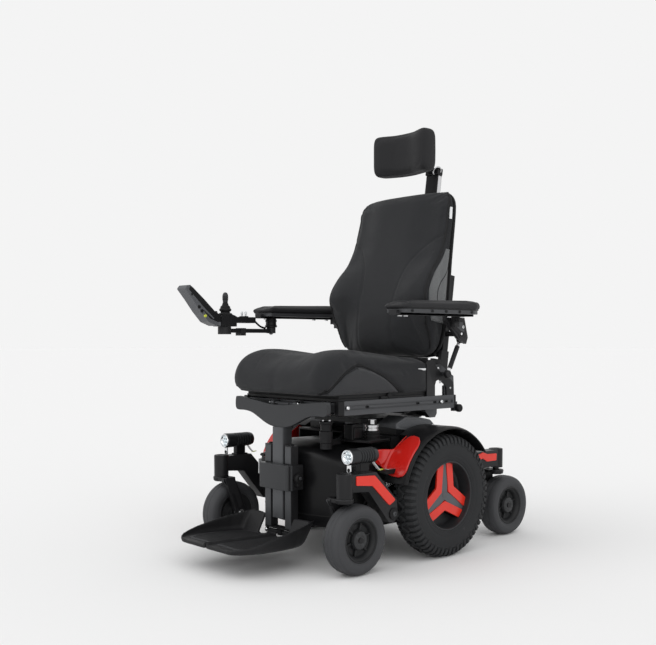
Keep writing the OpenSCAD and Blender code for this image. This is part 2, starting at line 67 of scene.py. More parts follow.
def chair(x, y, z):
    """A place in millimetres from the middle of the drive axle, as a point of the frame."""
    return Vector((x * MM, y * MM + AXLE_Y, z * MM))


# ---------- camera, light and floor ----------

VIEW_AZIMUTH = math.radians(47.5)
CAMERA_PLACE = chair(2074, -2089.5, 635)


def make_camera():
    data = bpy.data.cameras.new("camera")
    data.lens = 50.93
    data.sensor_width = 36.0
    data.shift_y = 0.0252
    camera = bpy.data.objects.new("camera", data)
    camera.location = CAMERA_PLACE
    camera.rotation_euler = (math.pi / 2, 0, VIEW_AZIMUTH)
    scene.collection.objects.link(camera)
    scene.camera = camera


def sun(name, source, strength, softness):
    """Light that comes from a direction, with soft shadows."""
    data = bpy.data.lights.new(name, "SUN")
    data.energy = strength
    data.angle = math.radians(softness)
    light = bpy.data.objects.new(name, data)
    light.location = Vector(source) * 3
    light.rotation_euler = (-Vector(source)).to_track_quat("-Z", "Y").to_euler()
    scene.collection.objects.link(light)


def make_studio():
    """A pale seamless studio: white walls under a dimmer ceiling, and suns that light the floor evenly."""
    sun("key", (-0.45, -1.0, 1.1), 0.7, 50)
    sun("side", (1.0, -0.5, 0.9), 0.75, 70)
    sun("rim", (-0.2, 0.8, 1.3), 0.15, 60)
    world = bpy.data.worlds.new("studio")
    world.use_nodes = True
    tree = world.node_tree
    background = tree.nodes["Background"]
    background.inputs["Color"].default_value = (0.905, 0.905, 0.905, 1)
    place = tree.nodes.new("ShaderNodeTexCoord")
    parts = tree.nodes.new("ShaderNodeSeparateXYZ")
    ceiling = node(tree, "ShaderNodeMapRange")
    for key, value in (("From Min", 0.4), ("From Max", 0.62), ("To Min", 1.0), ("To Max", 0.75)):
        ceiling.inputs[key].default_value = value
    tree.links.new(place.outputs["Generated"], parts.inputs["Vector"])
    tree.links.new(parts.outputs["Z"], ceiling.inputs["Value"])
    tree.links.new(ceiling.outputs["Result"], background.inputs["Strength"])
    scene.world = world
    scene.view_settings.view_transform = "Standard"
    floor = bpy.data.meshes.new("floor")
    reach = 60.0
    floor.from_pydata([(-reach, -reach, 0), (reach, -reach, 0), (reach, reach, 0), (-reach, reach, 0)], [],
                      [(0, 1, 2, 3)])
    stage = bpy.data.objects.new("floor", floor)
    scene.collection.objects.link(stage)
    pale = bpy.data.materials.new("floor")
    pale.use_nodes = True
    shader = pale.node_tree.nodes["Principled BSDF"]
    shader.inputs["Base Color"].default_value = (0.835, 0.835, 0.835, 1)
    shader.inputs["Roughness"].default_value = 1.0
    shader.inputs["Specular IOR Level"].default_value = 0.0
    floor.materials.append(pale)


# ---------- materials ----------


def node(tree, kind, **values):
    made = tree.nodes.new(kind)
    for key, value in values.items():
        if key in made.inputs:
            made.inputs[key].default_value = value
        else:
            setattr(made, key, value)
    return made


def surface(name, color, rough, metal=0.0, coat=0.0, sheen=0.0, grain=700.0, depth=0.12, mottle=0.12,
            wear=0.25, weave=0.0, shine=0.3):
    """A material with fine grain, mottled colour and roughness, and edges worn a little lighter."""
    made = bpy.data.materials.new(name)
    made.use_nodes = True
    tree = made.node_tree
    shader = tree.nodes["Principled BSDF"]
    shader.inputs["Metallic"].default_value = metal
    shader.inputs["Specular IOR Level"].default_value = shine
    shader.inputs["Coat Weight"].default_value = coat
    shader.inputs["Coat Roughness"].default_value = 0.12
    shader.inputs["Sheen Weight"].default_value = sheen
    shader.inputs["Sheen Roughness"].default_value = 0.45
    place = node(tree, "ShaderNodeTexCoord")
    cloud = node(tree, "ShaderNodeTexNoise", Scale=9.0, Detail=4.0)
    tree.links.new(place.outputs["Object"], cloud.inputs["Vector"])
    tones = node(tree, "ShaderNodeMixRGB", blend_type="MIX")
    tones.inputs["Color1"].default_value = [c * (1 - mottle) for c in color] + [1]
    tones.inputs["Color2"].default_value = [min(1, c * (1 + mottle)) for c in color] + [1]
    tree.links.new(cloud.outputs["Fac"], tones.inputs["Fac"])
    edge = node(tree, "ShaderNodeNewGeometry")
    edge_range = node(tree, "ShaderNodeMapRange")
    for key, value in (("From Min", 0.52), ("From Max", 0.62), ("To Min", 0.0), ("To Max", wear)):
        edge_range.inputs[key].default_value = value
    tree.links.new(edge.outputs["Pointiness"], edge_range.inputs["Value"])
    worn = node(tree, "ShaderNodeMixRGB", blend_type="MIX")
    worn.inputs["Color2"].default_value = [min(1, c * 2.2 + 0.03) for c in color] + [1]
    tree.links.new(tones.outputs["Color"], worn.inputs["Color1"])
    tree.links.new(edge_range.outputs["Result"], worn.inputs["Fac"])
    tree.links.new(worn.outputs["Color"], shader.inputs["Base Color"])
    rough_range = node(tree, "ShaderNodeMapRange")
    for key, value in (("From Min", 0.3), ("From Max", 0.7), ("To Min", rough * 0.88),
                       ("To Max", min(1, rough * 1.12))):
        rough_range.inputs[key].default_value = value
    tree.links.new(cloud.outputs["Fac"], rough_range.inputs["Value"])
    tree.links.new(rough_range.outputs["Result"], shader.inputs["Roughness"])
    fine = node(tree, "ShaderNodeTexNoise", Scale=grain, Detail=2.0)
    tree.links.new(place.outputs["Object"], fine.inputs["Vector"])
    height = fine.outputs["Fac"]
    if weave:
        height = weave_height(tree, place, weave, height)
    bump = node(tree, "ShaderNodeBump", Strength=depth, Distance=0.001)
    tree.links.new(height, bump.inputs["Height"])
    tree.links.new(bump.outputs["Normal"], shader.inputs["Normal"])
    return made


def weave_height(tree, place, scale, height):
    """Crossed yarns of that scale, with the fine grain over them."""
    warp = node(tree, "ShaderNodeTexWave", Scale=scale, Distortion=0.6, bands_direction="DIAGONAL")
    weft = node(tree, "ShaderNodeTexWave", Scale=scale, Distortion=0.6, bands_direction="Z")
    for yarn in (warp, weft):
        tree.links.new(place.outputs["Object"], yarn.inputs["Vector"])
    crossed = node(tree, "ShaderNodeMath", operation="MULTIPLY")
    tree.links.new(warp.outputs["Fac"], crossed.inputs[0])
    tree.links.new(weft.outputs["Fac"], crossed.inputs[1])
    both = node(tree, "ShaderNodeMath", operation="MULTIPLY_ADD")
    tree.links.new(height, both.inputs[0])
    both.inputs[1].default_value = 0.4
    tree.links.new(crossed.outputs["Value"], both.inputs[2])
    return both.outputs["Value"]


make_camera()
make_studio()

SURFACES = {
    "footplate_pad": ((0.03, 0.031, 0.033), 0.6, dict(shine=0.25, grain=420, depth=0.5)),
    # painted_light_side_fabric is the seat fabric made lighter: painted light on the seat cushion's side
    # panel
    "painted_light_side_fabric": ((0.04, 0.041, 0.044), 0.85, dict(sheen=0.15, shine=0.15, grain=1500, depth=0.5,
                                                     weave=380.0, wear=0.0)),
    "frame_black": ((0.0121, 0.0121, 0.0132), 0.42, dict(metal=0.1, grain=1100, depth=0.1, shine=0.2)),
    "frame_grey": ((0.062, 0.064, 0.068), 0.38, dict(metal=0.55, grain=1300, depth=0.06)),
    "cover_black": ((0.0067, 0.0067, 0.0074), 0.34, dict(coat=0.04, grain=900, depth=0.1, shine=0.16,
                                                         wear=0.1)),
    "battery_case": ((0.05, 0.052, 0.06), 0.6, dict()),
    "motor_case": ((0.11, 0.11, 0.115), 0.5, dict(metal=0.8, grain=300, depth=0.4)),
    "red_plastic": ((0.52, 0.012, 0.008), 0.3, dict(coat=0.4, grain=600, depth=0.03, wear=0.05)),
    "red_inlay": ((0.6708, 0.0258, 0.012), 0.34, dict(coat=0.25, grain=800, depth=0.05, wear=0.05)),
    "seat_fabric": ((0.0231, 0.0238, 0.0258), 0.82, dict(sheen=0.1, grain=1400, depth=0.5, weave=260.0,
                                                         wear=0.0, shine=0.15)),
    "headrest_fabric": ((0.0204, 0.0204, 0.0218), 0.7, dict(sheen=0.06, grain=900, depth=0.3, wear=0.0,
                                                            shine=0.15)),
    "armrest_skin": ((0.016, 0.016, 0.0176), 0.5, dict(grain=500, depth=0.35, wear=0.05, shine=0.2)),
    "steel": ((0.62, 0.62, 0.63), 0.24, dict(metal=1.0, grain=1200, depth=0.03, wear=0.0)),
    "panel_grey": ((0.085, 0.088, 0.095), 0.45, dict(grain=1100, depth=0.15)),
    "knob_rubber": ((0.0072, 0.0072, 0.0078), 0.55, dict(grain=700, depth=0.15, wear=0.1, shine=0.2)),
    "button_yellow": ((0.55, 0.6, 0.05), 0.4, dict(wear=0.0)),
    "footplate_grip": ((0.012, 0.012, 0.013), 0.5, dict(grain=420, depth=0.5, shine=0.2)),
    "drive_tyre": ((0.0214, 0.0222, 0.0237), 0.72, dict(grain=500, depth=0.35, wear=0.3, shine=0.2)),
    "rim_grey": ((0.0332, 0.0343, 0.0367), 0.42, dict(metal=0.4, grain=1200, depth=0.06)),
    "caster_rubber": ((0.0473, 0.0483, 0.0515), 0.6, dict(grain=600, depth=0.2, wear=0.15, shine=0.2)),
    "tag_white": ((0.72, 0.73, 0.74), 0.5, dict(grain=900, depth=0.08, mottle=0.04, wear=0.0)),
    "side_mesh": ((0.13, 0.135, 0.138), 0.85, dict(sheen=0.3, grain=1500, depth=0.5, weave=420.0, wear=0.0)),
    "spoke_grey": ((0.0978, 0.1035, 0.1127), 0.4, dict(metal=0.35, grain=1200, depth=0.06, wear=0.15)),
    "caster_rim": ((0.015, 0.0155, 0.0165), 0.42, dict(grain=900, depth=0.1, shine=0.2)),
    "cap_grey": ((0.024, 0.0248, 0.0264), 0.45, dict(grain=900, depth=0.1)),
    "headlight_shell": ((0.028, 0.029, 0.031), 0.36, dict(metal=0.6, grain=1100, depth=0.06)),
    "chrome": ((0.78, 0.79, 0.8), 0.14, dict(metal=1.0, grain=1500, depth=0.02, mottle=0.03, wear=0.0)),
    "lens_glow": ((0.75, 0.81, 0.84), 0.1, dict(metal=0.9, coat=0.6, grain=1500, depth=0.02, mottle=0.02,
                                                wear=0.0)),
    "clear_lens": ((0.16, 0.19, 0.19), 0.1, dict(coat=0.5, grain=1500, depth=0.01, mottle=0.02, wear=0.0)),
    "lid_grey": ((0.0918, 0.0955, 0.101), 0.45, dict(coat=0.05, grain=700, depth=0.2, shine=0.2)),
    "lamp_red": ((0.4, 0.006, 0.005), 0.16, dict(coat=0.7, grain=900, depth=0.02, mottle=0.05, wear=0.0)),
    "gull_grey": ((0.0312, 0.0324, 0.0348), 0.42, dict(coat=0.05, grain=900, depth=0.12, shine=0.2)),
    "column_grey": ((0.0638, 0.0663, 0.0706), 0.36, dict(metal=0.55, grain=1300, depth=0.05)),
    "screen_glass": ((0.008, 0.009, 0.011), 0.08, dict(coat=1.0, grain=1500, depth=0.01, wear=0.0)),
    "stick_grey": ((0.028, 0.029, 0.031), 0.5, dict(grain=700, depth=0.2)),
    "toggle_white": ((0.75, 0.77, 0.78), 0.3, dict(coat=0.3, grain=1200, depth=0.03, mottle=0.03, wear=0.0)),
    "back_grey": ((0.021, 0.0217, 0.0238), 0.6, dict(grain=500, depth=0.3, shine=0.2)),
}
MATERIALS = {name: surface(name, color, rough, **rest) for name, (color, rough, rest) in SURFACES.items()}

# Finishes that aren't slots of the record, and the record slot each stands for
SLOT_OF = {
    "footplate_pad": "footplate_grip",
    "painted_light_side_fabric": "seat_fabric",
    "spoke_grey": "rim_grey", "caster_rim": "caster_rubber", "cap_grey": "caster_rubber",
    "headlight_shell": "cover_black",
    "chrome": "steel", "lid_grey": "cover_black", "gull_grey": "frame_grey", "column_grey": "frame_grey",
    "stick_grey": "knob_rubber", "toggle_white": "steel", "back_grey": "cover_black",
}

# ---------- CAD pieces ----------

for entry in frame["record"]["subparts"]:
    cad = nodes[entry["node"]]
    cad.data.materials.clear()
    cad.data.materials.append(MATERIALS[entry["material_slot"]])

# ---------- piece builders ----------


def finish_piece(piece, slot, body, replaces=(), bevel=0.0, sharp=35, subdivide=0):
    """Shading, bevels, material slot and body of a piece that was drawn in place."""
    mesh = piece.data
    mesh.materials.clear()
    mesh.materials.append(MATERIALS[slot])
    shape = bmesh.new()
    shape.from_mesh(mesh)
    bmesh.ops.remove_doubles(shape, verts=shape.verts, dist=0.00002)
    bmesh.ops.recalc_face_normals(shape, faces=shape.faces)
    shape.to_mesh(mesh)
    shape.free()
    mesh.shade_smooth()
    mesh.set_sharp_from_angle(angle=math.radians(sharp))
    if bevel:
        add_bevel(piece, bevel)
    if subdivide:
        smooth = piece.modifiers.new("subdivide", "SUBSURF")
        smooth.levels = smooth.render_levels = subdivide
    slot = SLOT_OF.get(slot, slot)
    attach(piece, body)
    if replaces:
        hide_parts(*replaces)
    return piece


def add_bevel(piece, width, segments=3, angle=32):
    bevel = piece.modifiers.new("bevel", "BEVEL")
    bevel.width = width * MM
    bevel.segments = segments
    bevel.limit_method = "ANGLE"
    bevel.angle_limit = math.radians(angle)
    bevel.harden_normals = True
    bevel.miter_outer = "MITER_ARC"


def raw(name, corners, faces):
    """A mesh object from corners in chair millimetres."""
    mesh = bpy.data.meshes.new(name)
    mesh.from_pydata([chair(*c) for c in corners], [], faces)
    mesh.update()
    piece = bpy.data.objects.new(name, mesh)
    scene.collection.objects.link(piece)
    return piece


def joined(name, parts):
    """One object out of several lists of (corners, faces)."""
    corners, faces = [], []
    for some, theirs in parts:
        shift = len(corners)
        corners += some
        faces += [tuple(i + shift for i in f) for f in theirs]
    return raw(name, corners, faces)


def draw(name, shapes, slot, body, *replaces, **finish):
    """Draws one piece from its shapes and gives it its finish."""
    finish_piece(joined(name, shapes), slot, body, *replaces, **finish)


def fillet(points, radii, steps=5):
    """A closed outline with its corners rounded. radii is one number or one per corner."""
    made = []
    count = len(points)
    for i, here in enumerate(points):
        radius = radii[i] if hasattr(radii, "__len__") else radii
        before, here, after = Vector(points[i - 1]), Vector(here), Vector(points[(i + 1) % count])
        a, b = before - here, after - here
        if radius <= 0 or a.length < 1e-6 or b.length < 1e-6:
            made.append(tuple(here))
            continue
        turn = a.angle(b)
        if turn > math.radians(176):
            made.append(tuple(here))
            continue
        reach = min(radius / math.tan(turn / 2), 0.48 * a.length, 0.48 * b.length)
        start, end = here + a.normalized() * reach, here + b.normalized() * reach
        for k in range(steps + 1):
            t = k / steps
            made.append(tuple(start * (1 - t) ** 2 + here * 2 * t * (1 - t) + end * t ** 2))
    return made


def spline(points, per=6, closed=False):
    """Points along a smooth curve through the given ones."""
    found = []
    count = len(points)
    spans = count if closed else count - 1
    for i in range(spans):
        if closed:
            four = [Vector(points[(i + k - 1) % count]) for k in range(4)]
        else:
            four = [Vector(points[min(max(i + k - 1, 0), count - 1)]) for k in range(4)]
        for k in range(per):
            t = k / per
            found.append(0.5 * (2 * four[1] + (four[2] - four[0]) * t
                                + (2 * four[0] - 5 * four[1] + 4 * four[2] - four[3]) * t ** 2
                                + (3 * four[1] - four[0] - 3 * four[2] + four[3]) * t ** 3))
    if not closed:
        found.append(Vector(points[-1]))
    return found


def along(table, place):
    """The value at a place in a table of (place, value), eased between its rows."""
    if place <= table[0][0]:
        return table[0][1]
    for (a, low), (b, high) in zip(table, table[1:]):
        if place <= b:
            t = (place - a) / (b - a)
            return low + (high - low) * t
    return table[-1][1]


def ease(value, low, high):
    t = min(1.0, max(0.0, (value - low) / (high - low)))
    return t * t * (3 - 2 * t)


def prism(outline, axis, low, high):
    """(corners, faces) of an outline swept along an axis. Outlines are (y, z), (x, z) or (x, y)."""
    place = "xyz".index(axis)

    def put(p, d):
        return (*p[:place], d, *p[place:])

    count = len(outline)
    corners = [put(p, low) for p in outline] + [put(p, high) for p in outline]
    faces = [tuple(range(count)), tuple(range(2 * count - 1, count - 1, -1))]
    faces += [(i, (i + 1) % count, (i + 1) % count + count, i + count) for i in range(count)]
    return corners, faces


def cuboid(a, b):
    return prism([(a[0], a[1]), (b[0], a[1]), (b[0], b[1]), (a[0], b[1])], "z", a[2], b[2])


def turned(profile, centre, axis="x", steps=48, start=0.0, end=360.0, closed=True):
    """(corners, faces) of a profile of (place along the axis, radius), turned round a centre."""
    whole = end - start >= 359.9
    turns = steps if whole else steps + 1
    corners, faces = [], []
    count = len(profile)
    for k in range(turns):
        angle = math.radians(start + (end - start) * k / steps)
        c, s = math.cos(angle), math.sin(angle)
        for place, radius in profile:
            radius = max(radius, 0.02)
            if axis == "x":
                corners.append((centre[0] + place, centre[1] + radius * c, centre[2] + radius * s))
            elif axis == "y":
                corners.append((centre[0] + radius * c, centre[1] + place, centre[2] + radius * s))
            else:
                corners.append((centre[0] + radius * c, centre[1] + radius * s, centre[2] + place))
    for k in range(steps):
        here, after = k * count, ((k + 1) % turns) * count
        for i in range(count if closed else count - 1):
            j = (i + 1) % count
            faces.append((here + i, here + j, after + j, after + i))
    if not whole and closed:
        faces += [tuple(range(count)), tuple(range((turns - 1) * count, turns * count))]
    return corners, faces


def loft(rings, closed_ends=True):
    """(corners, faces) of a skin over rings with the same number of places."""
    count = len(rings[0])
    corners = [tuple(p) for ring in rings for p in ring]
    faces = []
    for r in range(len(rings) - 1):
        for i in range(count):
            j = (i + 1) % count
            faces.append((r * count + i, r * count + j, (r + 1) * count + j, (r + 1) * count + i))
    if closed_ends:
        faces += [tuple(range(count)), tuple(range((len(rings) - 1) * count, len(rings) * count))]
    return corners, faces


def tube(points, radius, steps=8, ends=True):
    """(corners, faces) of a tube along points. radius is one number or one per point."""
    points = [Vector(p) for p in points]
    rings = []
    side = None
    for i, point in enumerate(points):
        ahead = (points[min(i + 1, len(points) - 1)] - points[max(i - 1, 0)]).normalized()
        if side is None:
            side = ahead.orthogonal().normalized()
        side = (side - ahead * side.dot(ahead)).normalized()
        up = ahead.cross(side)
        size = radius[i] if hasattr(radius, "__len__") else radius
        rings.append([point + side * size * math.cos(2 * math.pi * k / steps)
                      + up * size * math.sin(2 * math.pi * k / steps) for k in range(steps)])
    return loft(rings, ends)


def bolt(centre, axis, sign, radius=6.0, height=4.0, socket=True):
    """(corners, faces) of a button head with a hexagonal socket, standing out along sign * axis."""
    r, h = radius, height
    dome = [(0, r), (0.35 * h, r), (0.75 * h, 0.9 * r), (h, 0.66 * r), (h, 0.5 * r), (0.45 * h, 0.44 * r),
            (0.4 * h, 0.0)]
    if not socket:
        dome = [(0, r), (0.35 * h, r), (0.75 * h, 0.88 * r), (h, 0.55 * r), (1.05 * h, 0.0)]
    return turned([(sign * a, b) for a, b in dome], centre, axis, 24 if not socket else 12, closed=False)


LEAN = math.radians(8.4)
RECLINE = (75.0, 545.0)


def back(x, y, h):
    """A place on the leaning backrest, in chair millimetres: forward is -y, and h is the height along it."""
    return (x, RECLINE[0] + y * math.cos(LEAN) + h * math.sin(LEAN), RECLINE[1] + h * math.cos(LEAN)
            - y * math.sin(LEAN))


# ---------- cushions ----------


def remesh(piece, size):
    """Even quads over a closed skin, with its corners eased."""
    voxel = piece.modifiers.new("remesh", "REMESH")
    voxel.mode = "VOXEL"
    voxel.voxel_size = size * MM
    ease_out = piece.modifiers.new("ease", "SMOOTH")
    ease_out.factor = 0.5
    ease_out.iterations = 6
    bake(piece)


def bake(piece):
    """Makes what the modifiers show the mesh itself."""
    seen = piece.evaluated_get(bpy.context.evaluated_depsgraph_get())
    mesh = bpy.data.meshes.new_from_object(seen)
    old = piece.data
    piece.modifiers.clear()
    piece.data = mesh
    bpy.data.meshes.remove(old)


def stuff(piece, pinned, pressure=4.0, cap=7.0, frames=20):
    """Blows a cushion up as cloth, held where pinned(place in chair millimetres) is above 0."""
    group = piece.vertex_groups.new(name="held")
    for v in piece.data.vertices:
        hold = pinned(v.co.x / MM, (v.co.y - AXLE_Y) / MM, v.co.z / MM)
        if hold > 0:
            group.add([v.index], min(1.0, hold), "REPLACE")
    cloth = piece.modifiers.new("cloth", "CLOTH")
    values = cloth.settings
    values.quality = 4
    values.mass = 0.4
    values.tension_stiffness = values.compression_stiffness = 12
    values.shear_stiffness = 6
    values.bending_stiffness = 0.6
    values.use_pressure = True
    values.uniform_pressure_force = pressure
    values.effector_weights.gravity = 0
    values.vertex_group_mass = "held"
    cloth.collision_settings.use_self_collision = False
    cloth.point_cache.frame_start = 1
    cloth.point_cache.frame_end = frames
    for frame_number in range(1, frames + 1):
        scene.frame_set(frame_number)
    seen = piece.evaluated_get(bpy.context.evaluated_depsgraph_get())
    moved = [v.co.copy() for v in seen.data.vertices]
    piece.modifiers.clear()
    for v, new in zip(piece.data.vertices, moved):
        step = new - v.co
        if step.length > cap * MM:
            step *= cap * MM / step.length
        v.co += step
    scene.frame_set(1)


def skin_of(piece):
    """A tree for finding the nearest place on a piece."""
    shape = bmesh.new()
    shape.from_mesh(piece.data)
    tree = BVHTree.FromBMesh(shape)
    shape.free()
    return tree


def laid(tree, points, lift=0.0, towards=None):
    """Places in chair millimetres moved onto a skin: the nearest place, or along a direction."""
    found = []
    for point in points:
        world = chair(*point)
        if towards is None:
            hit, normal, _, _ = tree.find_nearest(world)
        else:
            hit, normal, _, _ = tree.ray_cast(world - Vector(towards) * 0.3, Vector(towards))
            if hit is None:
                hit, normal, _, _ = tree.find_nearest(world)
        hit = hit + normal * lift * MM
        found.append((hit.x / MM, (hit.y - AXLE_Y) / MM, hit.z / MM))
    return found


def groove(piece, line, width, depth):
    """Presses a line of places into a piece, width and depth in millimetres."""
    from_line = [chair(*p) for p in line]
    finder = KDTree(len(from_line))
    for i, p in enumerate(from_line):
        finder.insert(p, i)
    finder.balance()
    normals = [v.normal.copy() for v in piece.data.vertices]
    for v, normal in zip(piece.data.vertices, normals):
        _, _, far = finder.find(v.co)
        if far < 3 * width * MM:
            v.co -= normal * depth * MM * math.exp(-((far / (width * MM)) ** 2))


def dense(points, step=3.0):
    """The same line with places no further apart than step."""
    made = [Vector(points[0])]
    for a, b in zip(points, points[1:]):
        a, b = Vector(a), Vector(b)
        parts = max(1, math.ceil((b - a).length / step))
        made += [a.lerp(b, (k + 1) / parts) for k in range(parts)]
    return made


def cushion(piece, slot_name, body, replaces):
    piece.data.shade_smooth()
    smooth = piece.modifiers.new("subdivide", "SUBSURF")
    smooth.levels = smooth.render_levels = 1
    piece.data.materials.clear()
    piece.data.materials.append(MATERIALS[slot_name])
    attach(piece, body)
    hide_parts(*replaces)
    return piece

# Side outline of the seat cushion, from its rear foot forward, and round its nose to the rear top
SEAT_SIDE = spline([
    (30, 477), (-180, 476), (-360, 477), (-386, 482), (-401, 497), (-407, 520), (-402, 546), (-388, 569),
    (-364, 587),
    (-332, 597), (-295, 600), (-250, 599), (-200, 594), (-150, 588), (-100, 582), (-50, 577), (0, 573),
    (27, 568),
    (37, 552), (37, 500)], 4, closed=True)
SEAT_HALF = 211.0
ARCH = [(-386, 478), (-353, 509), (-316, 540), (-264, 560), (-211, 547), (-157, 524), (-101, 486), (-92, 478)]


def seat_ring(x):
    """The seat cushion's outline at one place across it: bolsters at the sides, a trough between."""
    corner = 44.0
    over = max(0.0, abs(x) - (SEAT_HALF - corner))
    inset = corner - math.sqrt(max(0.0, corner ** 2 - over ** 2))
    trough = -14.0 * (1 - ease(abs(x), 40, 150))
    ring = []
    for p in SEAT_SIDE:
        y, z = p[0], p[1]
        height = ease(z, 520, 590)
        z += trough * height * (1 - 0.5 * ease(y, -160, 20))
        rear = ease(y, -190, 20)
        y = -190 + (y + 190) * (217 - inset * (0.92 - 0.7 * rear)) / 217
        z = 477 + (z - 477) * (122 - inset * (0.72 - 0.4 * rear)) / 122
        y += 2.0 * math.exp(-((x / 14.0) ** 2)) * ease(-y, 330, 400) * ease(z, 480, 540)
        ring.append((x, y, z))
    return ring


def make_seat_side(skin, name, sign):
    """The smoother panel let into the cushion's side, under the arch of piping, drawn as a thin sheet in a
    lighter copy of the seat fabric: painted light on the side that faces the light.
    """
    rows = []
    table = [(y, z) for y, z in ARCH]
    for k in range(33):
        y = -376 + (276 * k) / 32
        top = along(table, y) - 6
        rows.append(laid(skin, [(sign * 240, y, 480 + (max(481, top) - 480) * j / 8) for j in range(9)],
                         0.8, (-sign, 0, 0)))
    corners = [p for row in rows for p in row]
    faces = [(r * 9 + j, r * 9 + j + 1, (r + 1) * 9 + j + 1, (r + 1) * 9 + j) for r in range(32)
             for j in range(8)]
    panel = raw("seat_side_painted_light_sheet_" + name, corners, faces)
    thick = panel.modifiers.new("thick", "SOLIDIFY")
    thick.thickness = 0.0014
    thick.offset = 0
    finish_piece(panel, "painted_light_side_fabric", "seat")


def make_seat_cushion():
    places = [SEAT_HALF * math.sin(math.pi / 2 * k / 30) for k in range(-30, 31)]
    body = raw("seat_cushion_pad", *loft([seat_ring(x) for x in places]))
    remesh(body, 5.5)
    stuff(body, lambda x, y, z: 1.0 if z < 481 else 0.0, 3.5, 5.0)
    skin = skin_of(body)
    for sign in (-1, 1):
        arch = laid(skin, dense([(sign * 212, p[0], p[1]) for p in spline(ARCH, 5)]), 0, (-sign, 0, 0))
        for v in body.data.vertices:
            x, y, z = v.co.x / MM * sign, (v.co.y - AXLE_Y) / MM, v.co.z / MM
            if x > 180 and -392 < y < -90:
                inside = ease(along(ARCH, y) - z, 2, 9)
                v.co.x -= sign * 3.2 * inside * MM
        groove(body, arch, 7.0, 7.0)
    for sign in (-1, 1):
        top_seam = dense([(sign * 96 + 12 * sign * math.sin(k / 3.0), -392 + 13.5 * k, 640)
                          for k in range(31)], 4)
        groove(body, laid(skin, top_seam, 0, (0, 0, -1)), 3.5, 0.8)
    body.data.update()
    skin = skin_of(body)
    cushion(body, "seat_fabric", "seat", ["seat_cushion"])
    for name, sign in (("left", 1), ("right", -1)):
        line = laid(skin, dense([(sign * 212, p[0], p[1]) for p in spline(ARCH, 5)], 4), -1.2, (-sign, 0, 0))
        draw("seat_cushion_piping_" + name, [tube(line, 4.2)], "knob_rubber", "seat")
        make_seat_side(skin, name, sign)
        tag = cuboid((sign * 211 - 1.0, -18, 541), (sign * 211 + 1.6, 16, 547))
        draw("seat_cushion_tag_" + name, [tag], "tag_white", "seat", bevel=0.5)


BACK_HALF = [(36, 150), (46, 178), (60, 193), (80, 203), (110, 209), (150, 212), (208, 213), (240, 212),
             (290, 210), (340, 208), (400, 207), (465, 206), (515, 203), (538, 195), (552, 182), (560, 166),
             (563, 140)]
BACK_MIDDLE = [(36, -40), (50, -66), (70, -82), (120, -93), (190, -86), (260, -71), (310, -59), (360, -48),
               (400, -40), (465, -33), (530, -27), (552, -20), (563, -6)]
BACK_WING = [(36, -14), (50, -24), (93, -48), (150, -80), (208, -105), (237, -101), (286, -78), (332, -46),
             (390, -24), (465, -14), (530, -10), (552, -6), (563, 0)]
BACK_REAR = 13.0


def back_front(x, h):
    """How far the backrest's face stands forward, as a y on the leaning backrest."""
    share = ease(abs(x), 60, 172)
    return along(BACK_MIDDLE, h) * (1 - share) + along(BACK_WING, h) * share


def back_ring(h):
    half = along(BACK_HALF, h)
    edge = 17.0
    ring = []
    for k in range(33):
        x = half * math.cos(math.pi * k / 32)
        over = max(0.0, abs(x) - (half - edge))
        y = back_front(x, h)
        y += (edge - math.sqrt(max(0.0, edge ** 2 - over ** 2))) * 1.2
        ring.append(back(x, min(y, BACK_REAR - 3), h))
    for k in range(1, 16):
        x = -half * math.cos(math.pi * k / 16)
        ring.append(back(x * 0.985, BACK_REAR, h))
    return ring


# Seams as (half width, height) on the face of the backrest, and its piped edge as (y, height) on the side
BACK_SEAM = [(207, 432), (186, 412), (150, 388), (118, 352), (94, 312), (80, 262), (74, 210), (72, 150),
             (74, 96), (80, 52)]
BACK_PIPING = [(10, 560), (-3, 520), (-6, 465), (-14, 400), (-34, 340), (-66, 290), (-88, 245), (-92, 208),
               (-72, 150), (-42, 96), (-20, 60)]


def make_backrest_cushion():
    heights = [36 + (563 - 36) * (1 - math.cos(math.pi * k / 44)) / 2 for k in range(45)]
    body = raw("backrest_pad", *loft([back_ring(h) for h in heights]))
    remesh(body, 5.5)

    def held(x, y, z):
        return 1.0 if y - (RECLINE[0] + (z - RECLINE[1]) * math.tan(LEAN)) > 6 else 0.0

    stuff(body, held, 3.0, 5.0)
    skin = skin_of(body)
    forward = (0, math.cos(LEAN), -math.sin(LEAN))
    seams = {}
    for name, sign in (("left", 1), ("right", -1)):
        seams[name] = dense([back(sign * p[0], -200, p[1]) for p in spline(BACK_SEAM, 4)])
        groove(body, laid(skin, seams[name], 0, forward), 4.0, 2.2)
    body.data.update()
    skin = skin_of(body)
    cushion(body, "seat_fabric", "backrest", ["backrest_cushion"])
    for name, sign in (("left", 1), ("right", -1)):
        seam = joined("backrest_seam_" + name, [tube(laid(skin, seams[name][4:-2], -0.6, forward), 1.1, 6)])
        finish_piece(seam, "knob_rubber", "backrest")
        edge = dense([back(sign * 240, p[0], p[1]) for p in spline(BACK_PIPING, 4)])
        line = laid(skin, edge, -0.5, (-sign, 0, 0))
        draw("backrest_piping_" + name, [tube(line, 3.6)], "knob_rubber", "backrest")
        make_side_mesh(skin, name, sign)
        label = [laid(skin, [back(sign * 240, y, h)], 1.0, (-sign, 0, 0))[0] for y, h in
                 ((-1, 470), (5, 470), (5, 508), (-1, 508))]
        inner = [(p[0] - sign * 2, p[1], p[2]) for p in label]
        tag = joined("backrest_tag_" + name, [loft([label, inner])])
        finish_piece(tag, "tag_white", "backrest")


